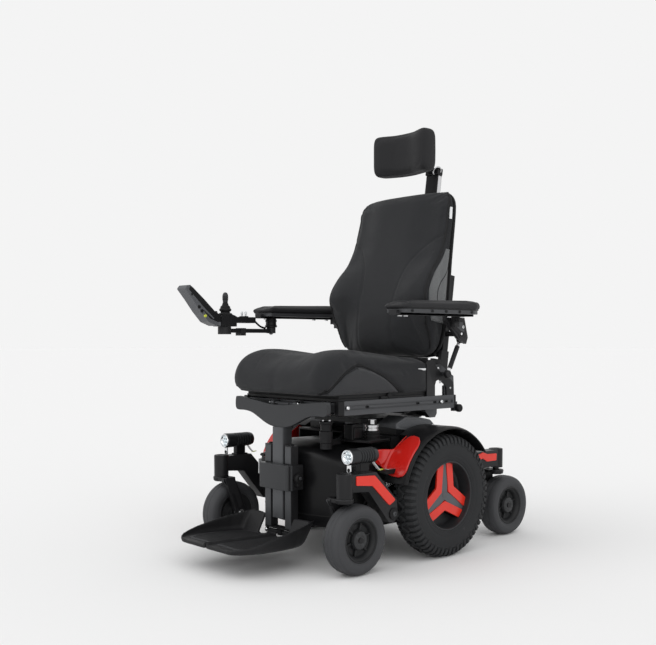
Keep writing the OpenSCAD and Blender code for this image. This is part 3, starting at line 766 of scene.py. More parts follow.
def make_side_mesh(skin, name, sign):
    """The lighter knitted panel behind the piping, with the seam that curves down it."""
    rows = []
    seam = []
    heights = [140 + (372 - 140) * k / 40 for k in range(41)]
    edge_table = sorted((p[1], p[0]) for p in spline(BACK_PIPING, 4))
    for h in heights:
        front = along(edge_table, h) + 13
        rear = max(front + 1, 7.5)
        line = [back(sign * 240, front + (rear - front) * k / 12, h) for k in range(13)]
        rows.append(laid(skin, line, 1.2, (-sign, 0, 0)))
        if 160 < h < 335:
            seam.append(back(sign * 240, front + (rear - front) * (0.45 + 0.5 * ease(h, 230, 335)), h))
    corners = [p for row in rows for p in row]
    faces = [(r * 13 + k, r * 13 + k + 1, (r + 1) * 13 + k + 1, (r + 1) * 13 + k) for r in range(40)
             for k in range(12)]
    panel = raw("backrest_side_mesh_" + name, corners, faces)
    thick = panel.modifiers.new("thick", "SOLIDIFY")
    thick.thickness = 0.0016
    thick.offset = 0
    finish_piece(panel, "side_mesh", "backrest")
    draw("backrest_side_seam_" + name, [tube(laid(skin, dense(seam), 1.6, (-sign, 0, 0)), 1.5, 6)],
         "knob_rubber", "backrest")


def headrest_ring(x, half, low, high):
    """The headrest pad's outline at one place across it: hollow in front, nearly flat behind."""
    share = abs(x) / half
    over = max(0.0, (share - 0.86) / 0.14)
    end = 1 - math.sqrt(max(0.0, 1 - over ** 2))
    front = 143 - 30 * ease(share, 0.1, 0.98) + 20 * end
    rear = 193 - 11 * share ** 2 - 14 * end
    bottom, top = low + 4 * share ** 2 + 16 * end, high - 3 * share ** 2 - 14 * end
    ring = []
    for s in range(32):
        a = 2 * math.pi * s / 32
        cy, cz = math.cos(a), math.sin(a)
        ring.append((x, (front + rear) / 2 - (rear - front) / 2 * math.copysign(abs(cy) ** 0.5, cy),
                     (bottom + top) / 2 + (top - bottom) / 2 * math.copysign(abs(cz) ** 0.42, cz)))
    return ring


def make_headrest():
    """A pad that curves round the head, with a seam round its face."""
    half, low, high = 115.0, 1171.0, 1313.0
    rings = [headrest_ring(half * math.sin(math.pi / 2 * k / 20), half, low, high) for k in range(-20, 21)]
    body = raw("headrest_cushion", *loft(rings))
    remesh(body, 4.0)
    stuff(body, lambda x, y, z: 0.0 if y < 172 else 1.0, 2.5, 3.0)
    skin = skin_of(body)
    seams = []
    for wide, tall, ahead in ((105, 60, 1), (104, 59, -1)):
        seam = []
        for k in range(73):
            a = 2 * math.pi * k / 72
            seam.append((wide * math.copysign(abs(math.cos(a)) ** 0.5, math.cos(a)), 150 - 90 * ahead,
                         1242 + tall * math.copysign(abs(math.sin(a)) ** 0.5, math.sin(a))))
        seams.append(laid(skin, dense(seam), 0 if ahead > 0 else -0.8, (0, ahead, 0)))
    groove(body, seams[0], 4.0, 1.2)
    body.data.update()
    cushion(body, "headrest_fabric", "headrest", [])
    draw("headrest_rear_seam", [tube(seams[1], 1.6)], "knob_rubber", "headrest")
    shell = joined("headrest_rear_shell", [loft([
        [(34 * c, 188 + d, 1246 + 34 * s) for c, s in ring_of(24, 0.6)] for d in (0, 10)])])
    finish_piece(shell, "cover_black", "headrest", bevel=2.5)
    axis = back(0, 40, 682)
    knuckle = joined("headrest_knuckle", [
        turned([(x, 15.0), (x + 12, 15.0), (x + 12, 0), (x, 0)], (0, axis[1], axis[2]), "x", 32)
        for x in (-24, 12)] + [
        loft([[back(x, y, h) for x, h in ((-24, 674), (24, 674), (24, 698), (-24, 698))] for y in (4, 24)])])
    finish_piece(knuckle, "frame_black", "headrest", replaces=["headrest_pad"], bevel=1.5)
    lever = [back(26 + 6 * math.sin(t), 112 + 16 * math.cos(t * 0.9), 676 + 15 * math.sin(t * 0.9))
             for t in (k * 0.35 for k in range(14))]
    draw("headrest_lever", [tube(lever, 2.0, 8)], "steel", "headrest_slider")
    cap = loft([[back(x, y, h) for x, y in ((-28, 112), (28, 112), (28, 139), (-28, 139))] for h in (668,
                                                                                                     691)])
    draw("headrest_post_cap", [cap], "cover_black", "headrest_slider", bevel=3.0)


def ring_of(count, power):
    """Places round a circle, or a squarer loop for a power below 1."""
    found = []
    for k in range(count):
        c, s = math.cos(2 * math.pi * k / count), math.sin(2 * math.pi * k / count)
        found.append((math.copysign(abs(c) ** power, c), math.copysign(abs(s) ** power, s)))
    return found


def make_armrest_pad(name, sign):
    """A long gel pad with a soft rim and a shallow hollow along its top."""
    plan_points = fillet([(-44.5, -206), (-36, -218), (36, -218), (44.5, -206), (44.5, 96), (34, 128),
                          (-34, 128), (-44.5, 96)], 20, 6)
    centre = (300.0, -57.0)
    levels = [(722, 0.93), (724, 0.97), (728, 0.995), (733, 1.0), (739, 0.975), (743, 0.92), (746, 0.84),
              (747, 0.6), (746, 0.3)]
    rings = []
    for z, scale in levels:
        rings.append([(sign * (centre[0] + p[0] * scale),
                       centre[1] + (p[1] - centre[1]) * (1 - (1 - scale) * 0.3),
                       z - 10 * (1 - ease(p[1], -214, -183)) * ease(z, 716, 745)) for p in plan_points])
    body = raw("armrest_cushion_" + name, *loft(rings))
    remesh(body, 3.5)
    stuff(body, lambda x, y, z: 1.0 if z < 727 else 0.0, 2.5, 2.0)
    skin = skin_of(body)
    seam_line = [(sign * (300 + p[0] * 0.8), -57 + (p[1] + 57) * 0.93, 800) for p in plan_points]
    seam_line = laid(skin, dense(seam_line + seam_line[:1]), 0, (0, 0, -1))
    groove(body, seam_line, 3.2, 1.4)
    body.data.update()
    cushion(body, "armrest_skin", "armrest_" + name, ["armrest_pad_" + name])
    tray = [(sign * (300 + p[0] * 0.93), -57 + (p[1] + 57) * 0.975) for p in plan_points]
    draw("armrest_tray_" + name, [prism(tray, "z", 719, 726)], "cover_black", "armrest_" + name, bevel=1.5)
    side = [(sign * (300 + p[0] * 0.9), -57 + (p[1] + 57) * 0.955) for p in plan_points]
    draw("armrest_side_rail_" + name, [prism(side, "z", 708, 720)], "frame_grey", "armrest_" + name,
         bevel=1.5)
    holes = [turned([(sign * a, r) for a, r in ((340.6, 0), (340.6, 3.6), (341.9, 4.4), (342.2, 0))],
                    (0, y, 714), "x", 20, closed=False) for y in (-184, -100, -40, 20, 76)]
    draw("armrest_rail_holes_" + name, holes, "knob_rubber", "armrest_" + name)

# ---------- drive wheels ----------

WHEEL_X = 287.0
AXLE_HEIGHT = 178.0
KNOBS = 58


def make_drive_tyre(name, sign):
    """A carcass with moulded rings, two rows of shoulder knobs and a row of chevrons between them."""
    centre = (sign * WHEEL_X, 0, AXLE_HEIGHT)
    half = [(0, 172.5), (14, 172), (24, 169.5), (31, 164.5), (35, 158), (36.8, 152.5), (37.6, 151.5),
            (37.9, 149), (37.2, 148), (37.7, 140), (37.3, 128), (36, 119), (35.2, 117.6), (35.9, 116),
            (34.6, 110), (33.2, 108.6), (33.6, 107), (31.5, 102.5), (29.6, 100.2)]
    profile = [(-a, r) for a, r in reversed(half[1:])] + half
    parts = [turned(profile + [(27, 100), (-27, 100)], centre, "x", 176)]
    step = 2 * math.pi / KNOBS

    def knob(ring, start, end, twist=0.0):
        """A block over an angle, drawn as a ring of (across, radius), its end faces leaning in."""
        rings = []
        for angle, low in ((start, 0.75), (start + 0.12 * (end - start), 1.0), (end - 0.12 * (end - start),
                                                                                1.0), (end, 0.75)):
            turn_ring = []
            for across, radius, top in ring:
                swing = angle + twist * across
                tall = radius - (1.6 if top and low < 1 else 0.0)
                turn_ring.append((centre[0] + sign * across, tall * math.cos(swing),
                                  centre[2] + tall * math.sin(swing)))
            rings.append(turn_ring)
        return loft(rings)

    for k in range(KNOBS):
        angle = k * step
        low = 148.5 if k % 2 else 153.5
        for flank in (-1, 1):
            outline = [(38.9, low, 1), (38.6, 160, 1), (35.2, 169.5, 1), (28, 175, 1),
                       (15 + 3 * (k % 2), 177.8, 1), (15 + 3 * (k % 2), 168, 0), (26, 164, 0), (33, 155, 0),
                       (35, low, 0)]
            shift = 0.0 if flank > 0 else step / 2
            parts.append(knob([(flank * a, r, t) for a, r, t in outline], angle + shift,
                              angle + shift + 0.58 * step))
        middle = [(11.5, 178, 1), (-11.5, 178, 1), (-11.5, 168, 0), (11.5, 168, 0)]
        parts.append(knob(middle, angle + 0.28 * step, angle + 0.82 * step, 0.0035 * (1 if k % 2 else -1)))
    tyre = joined("drive_tyre_tread_" + name, parts)
    finish_piece(tyre, "drive_tyre", "drive_wheel_" + name, ["drive_tyre_" + name], bevel=0.9, sharp=28)


def in_wheel(x, angle, out, across):
    """A place in the wheel's plane: out along a spoke direction and across it."""
    a = math.radians(angle)
    return (x, out * math.sin(a) * -1 + across * math.cos(a), AXLE_HEIGHT + out * math.cos(a)
            + across * math.sin(a))


def make_drive_rim(name, sign):
    body = "drive_wheel_" + name
    centre = (sign * WHEEL_X, 0, AXLE_HEIGHT)
    barrel = [(30.5, 100.8), (31.5, 98.5), (30, 96.2), (24, 95.4), (10, 94), (-10, 92), (-14, 88),
              (-16, 60), (-16, 32), (-12, 31), (-12, 24), (-20, 24), (-20, 60), (-21, 92), (-24, 97),
              (-30, 100), (-31, 100.8), (0, 101)]
    parts = [turned([(sign * a, r) for a, r in barrel], centre, "x", 96)]
    draw("drive_rim_barrel_" + name, parts, "rim_grey", body, ["drive_rim_" + name], bevel=0.6)
    spokes = []
    outline = []
    for k in range(3):
        turn = 120 * k
        for out, across in ((95.3, 5.5), (60, 9.8), (34, 13.6)):
            outline.append((turn, out, across))
        outline.append((turn + 60, 14.5, 0.0))
        for out, across in ((34, -13.6), (60, -9.8), (95.3, -5.5)):
            outline.append((turn + 120, out, across))
    plane = [in_wheel(0, t, o, -a)[1:] for t, o, a in outline]
    spokes.append(prism(fillet(plane, 3.0, 3), "x", sign * WHEEL_X - sign * 3, sign * WHEEL_X + sign * 12.5))
    draw("drive_spokes_" + name, spokes, "spoke_grey", body, bevel=1.6)
    hub = [(-14, 30), (-3, 30), (-3, 0)]
    draw("drive_hub_" + name, [turned([(sign * a, r) for a, r in hub] + [(sign * -14, 0)], centre, "x", 48)],
         "rim_grey", body, bevel=0.8)
    bolts = []
    for k in range(5):
        a = 72 * k + 36
        place = in_wheel(sign * (WHEEL_X - 15.6), a, 48, 0)
        bolts.append(bolt(place, "x", sign, 5.5, 4))
    draw("drive_rim_bolts_" + name, bolts, "steel", body)
    inlays = []
    for k in range(3):
        turn = 60 + 120 * k
        rim_arc = []
        for step in range(7):
            a = 56.4 - (56.4 - 39.7) * step / 6
            rim_arc.append((94.4 * math.cos(math.radians(a)), 94.4 * math.sin(math.radians(a))))
        upper = [(17.2, 0.0)] + rim_arc
        lower = [(out, -across) for out, across in reversed(rim_arc)]
        corners = upper + [(44.5, 0.0)] + lower
        plane = [in_wheel(0, turn, out, across)[1:] for out, across in corners]
        inlays.append(prism(fillet(plane, [2.5] + [2.0] + [0] * 5 + [2.0, 6] + [2.0] + [0] * 5 + [2.0], 3),
                            "x", sign * (WHEEL_X - 2), sign * (WHEEL_X + 14.5)))
    draw("drive_inlays_" + name, inlays, "red_inlay", body, ["rim_inlays_" + name], bevel=1.3)
    caps = []
    for k in range(3):
        turn = 60 + 120 * k
        corners = [(45.8, 0), (72.5, 57.5), (69, 54), (50.5, 0), (69, -54), (72.5, -57.5)]
        plane = [in_wheel(0, turn, out, across)[1:] for out, across in corners]
        caps.append(prism(plane, "x", sign * (WHEEL_X - 6), sign * (WHEEL_X + 10)))
    draw("drive_inlay_edges_" + name, caps, "knob_rubber", body, bevel=0.8)


# ---------- casters ----------


def make_caster(centre, sign, node_name):
    """A smooth round tyre on a dished rim with a hub cap on its open side and bearing lips on both."""
    tyre = [(26.5, 60), (28.5, 62), (28.2, 64.5), (29.6, 66), (31.8, 72), (32.3, 78), (31, 84.5),
            (29.4, 87.4), (28.9, 87.3), (28.3, 88.4), (24, 91.6), (16, 93.9), (8, 94.8), (7.2, 94.2),
            (6.4, 94.9), (0, 95)]
    full = [(-a, r) for a, r in reversed(tyre[:-1])]
    tyre_ring = tyre + full + [(-24, 58), (24, 58)]
    piece = joined(node_name + "_tyre", [turned([(sign * a, r) for a, r in tyre_ring], centre, "x", 96)])
    finish_piece(piece, "caster_rubber", node_name, [node_name], sharp=50)
    rim = [(27, 60.5), (28, 58), (27, 55.5), (24.5, 54.6), (22, 51), (16, 46.5), (9, 44.5), (7, 42),
           (6.6, 30), (9, 27.5), (17, 26.5), (17, 25), (-20, 20), (-26, 20), (-26, 9.5), (-31, 9.5),
           (-31, 23), (-20, 26), (-15, 44), (-22, 52), (-26, 58), (-26.5, 60.5)]
    draw(node_name + "_rim", [turned([(sign * a, r) for a, r in rim], centre, "x", 72)], "caster_rim",
         node_name, bevel=0.7, sharp=30)
    cap = [(12, 0), (12, 25.4), (19.5, 25.2), (22.5, 23.6), (24, 20.5), (24.2, 13.5), (23.2, 12.5), (23.2, 0)]
    draw(node_name + "_cap", [turned([(sign * a, r) for a, r in cap], centre, "x", 48)], "cap_grey",
         node_name, bevel=0.5, sharp=30)
    spokes = []
    for k in range(6):
        a = math.radians(60 * k + 15)
        c, s = math.cos(a), math.sin(a)
        ring = []
        for r, w in ((25, 3.4), (46, 2.4)):
            ring.append([(centre[0] + sign * x, centre[1] + r * c - w * t * s, centre[2] + r * s + w * t * c)
                         for x, t in ((5, -1), (5, 1), (13, 0.8), (13, -0.8))])
        spokes.append(loft(ring))
    draw(node_name + "_ribs", spokes, "caster_rim", node_name, bevel=0.8)


def make_fork(body, x, y, low, sign):
    """A one-sided fork: a round crown, a bowed blade that narrows to the axle, and its pin and washers."""
    inner = 37.5
    crown = [(low + 13.5, 14), (low + 13.5, 24), (low + 10, 25.5), (low + 1, 24), (low - 1, 20),
             (low - 1, 0.0)]
    parts = [turned([(z, r) for z, r in crown], (sign * x, y, 0), "z", 36, closed=False)]
    blade = spline([(y - 24, low + 8), (y - 20, low - 3), (y - 4, low - 22), (y + 10, 135), (y + 18, 112),
                    (y + 19, 92), (y + 27, 77), (y + 40, 73), (y + 54, 78), (y + 59, 92), (y + 55, 112),
                    (y + 46, 140), (y + 34, 172), (y + 24, low), (y + 16, low + 12), (y - 12, low + 13)], 3,
                   closed=True)
    blade = [(p[0], p[1]) for p in blade]
    thick = prism(blade, "x", sign * (x - inner - 13), sign * (x - inner))
    corners = []
    for cx, cy, cz in thick[0]:
        fade = ease(cz, 150, low)
        corners.append((cx + sign * fade * 6.0, cy, cz))
    parts.append((corners, thick[1]))
    draw(body + "_blade", parts, "frame_black", body, bevel=2.6)
    bridge = fillet([(x - inner - 10, y - 21), (x + 6, y - 22), (x + 20, y - 8), (x + 20, y + 8),
                     (x + 6, y + 22), (x - inner - 10, y + 24)], 12, 4)
    piece = joined(body + "_crown", [prism([(sign * p[0], p[1]) for p in bridge], "z", low, low + 13)])
    finish_piece(piece, "frame_black", body, bevel=3.0)
    lip = joined(body + "_edge", [tube([(sign * (x - inner - 6), p[0], p[1]) for p in blade[:15]], 1.2, 6)])
    finish_piece(lip, "frame_grey", body)
    nut = [bolt((sign * (x - inner - 12.5), y + 38, 95), "x", -sign, 9, 6, False),
           turned([(0, 13), (sign * -1.6, 13), (sign * -1.6, 0)], (sign * (x - inner - 13), y + 38, 95),
                  "x", 32, closed=False)]
    draw(body + "_nut", nut, "steel", body)


# ---------- arms and lights ----------


def make_front_arm(name, sign):
    body = "front_arm_" + name
    add_bevel(nodes[body], 4.0)
    red = fillet([(-360, 268), (-290, 264), (-214, 194), (-209, 188), (-231, 176), (-238, 180), (-299, 236),
                  (-360, 243)], [3, 8, 3, 3, 3, 3, 8, 3], 4)
    plate = joined("front_arm_inlay_" + name, [prism(red, "x", sign * 294, sign * 300.2)])
    finish_piece(plate, "red_inlay", body, bevel=1.2)
    boss = [(205, 22), (272, 22.6), (275, 21.5), (275.5, 15), (272.5, 13), (272.5, 0)]
    draw("front_arm_boss_" + name, [turned([(a, r) for a, r in boss] + [(205, 0)],
                                          (sign * 278, -384, 0), "z", 48)], "frame_black", body, bevel=1.5)
    lid = [(0, 17), (sign * 3, 17), (sign * 4.5, 15), (sign * 4.5, 0)]
    draw("front_arm_pivot_cap_" + name, [turned(lid, (sign * 297, -215, 150), "x", 40, closed=False)],
         "cover_black", body, bevel=0.6)
    draw("front_arm_pivot_bolt_" + name, [bolt((sign * 301.5, -215, 150), "x", sign, 7, 3)], "frame_grey",
         body)
    strap = [(sign * 281, -286, 303), (sign * 282, -276, 292), (sign * 283, -266, 281),
             (sign * 283, -258, 274)]
    rings = []
    for p in strap:
        rings.append([(p[0] - sign * 5, p[1], p[2]), (p[0] + sign * 5, p[1], p[2]),
                      (p[0] + sign * 5, p[1] + 1, p[2] + 1.4), (p[0] - sign * 5, p[1] + 1, p[2] + 1.4)])
    draw("tie_down_strap_" + name, [loft(rings)], "tag_white", body, bevel=0.4)
    tip = [[(q[0] * 1.0, q[1] - 0.8, q[2] - 1.0) for q in rings[-1]],
           [(q[0], q[1] + 13, q[2] + 1.2) for q in rings[-1]]]
    draw("tie_down_tip_" + name, [loft(tip)], "button_yellow", body, bevel=0.6)


def make_rear_arm(name, sign):
    body = "rear_arm_" + name
    add_bevel(nodes[body], 3.5)
    red = fillet([(232, 252), (250, 258), (272, 246), (320, 246), (322, 268), (274, 270), (252, 277),
                  (226, 270)], [3, 6, 8, 3, 3, 8, 6, 3], 4)
    draw("rear_arm_inlay_" + name, [prism(red, "x", sign * 239, sign * 244.6)], "red_inlay", body, bevel=1.2)
    boss = [(221, 22), (278, 22.6), (281, 21.5), (281.5, 14), (279, 12.5), (279, 0)]
    draw("rear_arm_boss_" + name, [turned(boss + [(221, 0)], (sign * 222, 345, 0), "z", 48)], "frame_black",
         body, bevel=1.5)
    draw("rear_arm_pivot_bolt_" + name, [bolt((sign * 242, 112, 236), "x", sign, 7, 3.5)], "steel", body)


def make_headlight(name, sign):
    body = "front_arm_" + name
    centre = (sign * 277, 0, 318)
    shell = [(-372, 19.6), (-372, 21), (-370, 22.2), (-362, 22.4), (-345, 21.9)]
    for k in range(6):
        y = -340 + 9.5 * k
        shell += [(y, 21.8), (y + 1.2, 19.6), (y + 5.0, 19.4), (y + 6.2, 21.6)]
    shell += [(-276, 20.6), (-270, 18.6), (-266, 13), (-265, 0.0)]
    draw("headlight_shell_" + name, [turned(shell + [(-366, 0.0), (-366, 19.6)], centre, "y", 56,
                                            closed=False)], "headlight_shell", body, ["headlight_" + name],
         sharp=28)
    bezel = [(-371, 20.8), (-374, 20.6), (-375.4, 19.4), (-375.2, 18), (-372, 17.4), (-367, 12), (-365, 0)]
    draw("headlight_bezel_" + name, [turned(bezel, centre, "y", 56, closed=False)], "chrome", body, sharp=40)
    cells = []
    for ring_r, count, size in ((0, 1, 5.0), (11, 6, 4.6)):
        for k in range(count):
            a = 2 * math.pi * k / count
            c = (centre[0] + ring_r * math.cos(a), 0, centre[2] + ring_r * math.sin(a))
            cells.append(turned([(-366, size), (-370.5, size * 0.86), (-372.6, size * 0.5), (-373.4, 0)], c,
                                "y", 16, closed=False))
    draw("headlight_leds_" + name, cells, "lens_glow", body, sharp=60)
    tab = fillet([(-6.5, 304), (-7.5, 281), (-6, 272), (6, 272), (7.5, 281), (6.5, 304)], 5, 4)
    draw("headlight_tab_" + name, [prism([(sign * (277 + a), z) for a, z in tab], "y", -368, -364.5)],
         "chrome", body, bevel=0.7)
    draw("headlight_tab_eye_" + name,
         [turned([(-369, 4.6), (-369.6, 4.2), (-369.6, 0)], (sign * 277, 0, 283), "y", 24, closed=False)],
         "knob_rubber", body)
    foot = [cuboid((sign * 277 - 9, -332, 270), (sign * 277 + 9, -298, 300)),
            cuboid((sign * 277 - 14, -336, 270), (sign * 277 + 14, -292, 276))]
    draw("headlight_foot_" + name, foot, "cover_black", body, bevel=2.0)


# ---------- base covers ----------


def make_front_cover():
    levels = [(99, 9), (101, 4), (108, 1), (118, 0), (286, 0), (298, 1.5), (308, 5), (316, 11), (321, 20),
              (324, 33), (327, 52), (330, 78)]
    rings = []
    for z, inset in levels:
        ring = []
        for k in range(49):
            a = math.pi * k / 48
            x = (206 - inset) * math.cos(a)
            y = -236 - (104 - inset) * math.sin(a) ** 0.96
            fall = 30 * ease(abs(x), 60, 205) * ease(z, 240, 318)
            ring.append((x, y, z - fall + 14 * ease(y, -330, -190) * ease(z, 312, 328)))
        for x in (-206 + inset, -150, -75, 0, 75, 150, 206 - inset):
            fall = 30 * ease(abs(x), 60, 205) * ease(z, 240, 318)
            ring.append((x * min(1, (206 - inset) / 206), -132, z - fall + 18 * ease(z, 312, 328)))
        rings.append(ring)
    cover = joined("front_cover_shell", [loft(rings)])
    finish_piece(cover, "cover_black", "base", ["front_cover"], sharp=50)
    seam = [(204.8 * math.cos(math.pi * k / 48), -236 - 103.4 * math.sin(math.pi * k / 48) ** 0.96, 132)
            for k in range(49)]
    draw("front_cover_seam", [tube(seam, 1.5, 6)], "knob_rubber", "base")
    for name, sign in (("left", 1), ("right", -1)):
        ring = [(0, 33), (sign * 3, 33), (sign * 5, 30), (sign * 5, 24), (0, 24)]
        draw("pivot_collar_" + name, [turned(ring, (sign * 203, -215, 150), "x", 48)], "frame_black", "base",
             bevel=0.8)


def make_deck():
    add_bevel(nodes["rear_cover"], 3.5)
    for name, sign in (("left", 1), ("right", -1)):
        side_line = fillet([(-93, 369), (-93, 385), (-48, 404.5), (10, 399), (60, 389), (82, 371),
                            (72, 356), (11, 353)], [5, 6, 14, 10, 10, 8, 6, 14], 4)
        draw("deck_lid_" + name, [prism(side_line, "x", sign * 116, sign * 193)], "lid_grey", "base",
             bevel=5.0)
        groove_line = fillet([(-82, 374), (-82, 381), (-46, 396), (8, 391), (52, 381), (66, 370), (60, 363),
                              (10, 361)], 4, 3)
        draw("deck_lid_inset_" + name, [prism(groove_line, "x", sign * 190, sign * 194.4)], "lid_grey",
             "base", bevel=1.0)
        draw("deck_lid_bolt_" + name, [bolt((sign * 194, 66, 371), "x", sign, 6.0, 4)], "steel", "base")
    ring = [(345, 26), (349, 26), (350, 22), (353, 22), (354, 25), (358, 25), (359, 21.5), (362, 21.5),
            (363, 24), (366, 24), (367, 20), (370, 20), (370, 0), (345, 0)]
    draw("post_boot_left", [turned(ring, (175, -175, 0), "z", 40)], "knob_rubber", "base",
         bevel=0.6)
    collar = [(369, 0), (369, 19.5), (370.5, 20.5), (376, 20.5), (377, 18), (380, 18), (381, 20.5),
              (386, 20.5), (387.5, 19), (387.5, 13), (389, 12), (402, 12), (403, 10.5), (403, 0)]
    draw("post_collar_left", [turned(collar, (175, -175, 0), "z", 40)], "steel", "base", bevel=0.5)
    slot_ring = [cuboid((175 - 4, -189, 388), (175 + 4, -185, 401)), cuboid((175 + 11, -178, 388),
                                                                            (175 + 13.5, -170, 401))]
    draw("post_slots_left", slot_ring, "knob_rubber", "base", bevel=0.6)
    shelf = fillet([(96, -246), (200, -214), (204, -126), (96, -126)], 10, 4)
    draw("post_shelf_left", [prism(shelf, "z", 336, 346)], "cover_black", "base", bevel=3.0)
    box_case = [cuboid((124, -241, 344), (160, -196, 390)), cuboid((120, -236, 348), (164, -201, 380))]
    draw("junction_box", box_case, "cover_black", "base", bevel=3.0)
    post = [(322, 0), (322, 17), (338, 17), (340, 19), (372, 19), (374, 16), (392, 16), (394, 19),
            (400, 19), (401, 17), (401, 0)]
    draw("actuator_case", [turned(post, (120, -306, 0), "z", 40)], "frame_black", "base", bevel=1.0)
    heads = [turned([(400, 4.6), (404.4, 4.4), (405, 3.4), (405, 0)], (112, -312, 0), "z", 6, closed=False),
             turned([(400, 4.6), (404.4, 4.4), (405, 3.4), (405, 0)], (127, -300, 0), "z", 6, closed=False)]
    draw("actuator_nuts", heads, "steel", "base", bevel=0.4)
    arm_plate = fillet([(-300, 326), (-240, 330), (-200, 352), (-190, 372), (-206, 384), (-222, 366),
                        (-246, 348), (-300, 344)], 8, 4)
    draw("actuator_bracket", [prism(arm_plate, "x", 100, 110)], "frame_black", "base", bevel=1.5)
    ribs = []
    for k in range(9):
        y = -118 + 24 * k
        ribs.append(cuboid((-112, y, 344), (-70, y + 9, 347.4)))
        ribs.append(cuboid((70, y, 344), (112, y + 9, 347.4)))
    draw("deck_vents", ribs, "knob_rubber", "base", bevel=1.2)
    lamp = fillet([(-64, 300), (64, 300), (60, 322), (-60, 322)], 6, 4)
    tail = [cuboid((-70, 250, 298), (70, 262.5, 324))]
    draw("rear_lamp_frame", tail, "cover_black", "base", bevel=3.0)
    draw("rear_lamp", [prism(lamp, "y", 256, 265.5)], "lamp_red", "base", bevel=2.0)
    skirt = []
    for z in (284, 293):
        skirt.append(prism(fillet([(-102, 256), (-148, 211), (-150, 214), (-103, 260), (103, 260),
                                   (150, 214), (148, 211), (102, 256)], 1, 2), "z", z, z + 3))
    draw("deck_trim", skirt, "knob_rubber", "base", bevel=0.8)


def make_fender(name, sign):
    parts = []
    for inner, start, end in ((208, 36, 119), (240, 118, 165)):
        profile = [(inner, 166), (inner, 197), (inner + 1.5, 200.5), (inner + 5, 202), (315, 202.6),
                   (321, 201.4), (324.6, 198.4), (325, 195.2), (323.6, 194.4), (321.5, 196.4), (316, 197.4),
                   (inner + 8, 197.2), (inner + 5.5, 196), (inner + 4.6, 166)]
        parts.append(turned([(sign * x, r) for x, r in profile], (0, 0, AXLE_HEIGHT), "x", 72, start, end))
    draw("fender_shell_" + name, parts, "cover_black", "base", replaces=["fenders"], bevel=0.5, sharp=30)
    lip = [(sign * 325.2, 196.6 * math.cos(math.radians(a)), AXLE_HEIGHT + 196.6 * math.sin(math.radians(a)))
           for a in range(36, 166, 2)]
    draw("fender_lip_" + name, [tube(lip, 2.2, 8)], "knob_rubber", "base")


def make_side_panel(name, sign):
    """A red moulding: a set-back plate ahead, sweeping out round the front of the wheel arch."""
    plate = [(p[0], p[1]) for p in spline(
        [(-222, 318), (-196, 321), (-168, 320), (-146, 320), (-139, 312), (-160, 300), (-172, 286),
         (-182, 266), (-183, 253),
         (-187, 251), (-196, 268), (-217, 292)], 4, closed=True)]
    parts = [prism(plate, "x", sign * 221, sign * 226)]
    edges = [(238, 262, 318), (246, 256, 331), (250, 253, 343), (259, 250, 354), (275, 248, 357),
             (297, 248, 354), (310, 252, 347), (316, 258, 342), (320, 268, 333)]
    rings = []
    for x, low, high in edges:
        start, end = (math.asin((z - AXLE_HEIGHT) / 206) for z in (low, high))
        swell = 2.0 * math.sin(math.pi * (x - 238) / 82)
        angles = [start + (end - start) * k / 14 for k in range(15)]
        ring = [(sign * x, -(206.5 + swell) * math.cos(a), AXLE_HEIGHT + (206.5 + swell) * math.sin(a))
                for a in angles]
        ring += [(sign * x, -202.8 * math.cos(a), AXLE_HEIGHT + 202.8 * math.sin(a))
                 for a in reversed(angles)]
        rings.append(ring)
    parts.append(loft(rings))
    wall = fillet([(-150, 322), (-114, 346), (-98, 355), (-88, 350), (-80, 334), (-79, 298), (-120, 292),
                   (-168, 282), (-174, 300)], [2, 4, 6, 6, 8, 6, 4, 4, 4], 4)
    parts.append(prism(wall, "x", sign * 234.5, sign * 239))
    panel = joined("side_panel_shell_" + name, parts)
    for v in panel.data.vertices:
        x, y, z = v.co.x / MM * sign, (v.co.y - AXLE_Y) / MM, v.co.z / MM
        if x < 230:
            v.co.x += sign * 17 * (1 - ease(math.hypot(y, z - AXLE_HEIGHT), 206, 226)) * MM
    remesh(panel, 2.0)
    for v in panel.data.vertices:
        x, y, z = v.co.x / MM * sign, (v.co.y - AXLE_Y) / MM, v.co.z / MM
        if x < 236:
            v.co.x += sign * 6 * (1 - ease(math.hypot(y, z - AXLE_HEIGHT), 210, 232)) * MM
    ease_out = panel.modifiers.new("ease", "SMOOTH")
    ease_out.factor = 0.6
    ease_out.iterations = 10
    bake(panel)
    panel.data.shade_smooth()
    finish_piece(panel, "red_plastic", "base", replaces=["side_panels"], sharp=80)
    lever = fillet([(-232, 262), (-226, 268), (-176, 271), (-158, 269), (-156, 263), (-176, 258),
                    (-222, 257)], 3, 4)
    draw("release_lever_" + name, [prism(lever, "x", sign * 258, sign * 280)], "knob_rubber", "base",
         bevel=2.0)
    # A steel strip along the top of the lever: painted highlight for the light grey line on the lever's top
    # edge
    draw("release_lever_highlight_strip_" + name,
         [cuboid(*sorted_corners((sign * 262, -214, 269.6), (sign * 277, -164, 271.6)))], "steel", "base",
         bevel=0.8)


def sorted_corners(a, b):
    return tuple(min(p, q) for p, q in zip(a, b)), tuple(max(p, q) for p, q in zip(a, b))


def pair(a, b, sign):
    """A cuboid given for the user's left, on that side or mirrored."""
    return cuboid(*sorted_corners((sign * a[0], a[1], a[2]), (sign * b[0], b[1], b[2])))


# ---------- seat frame ----------


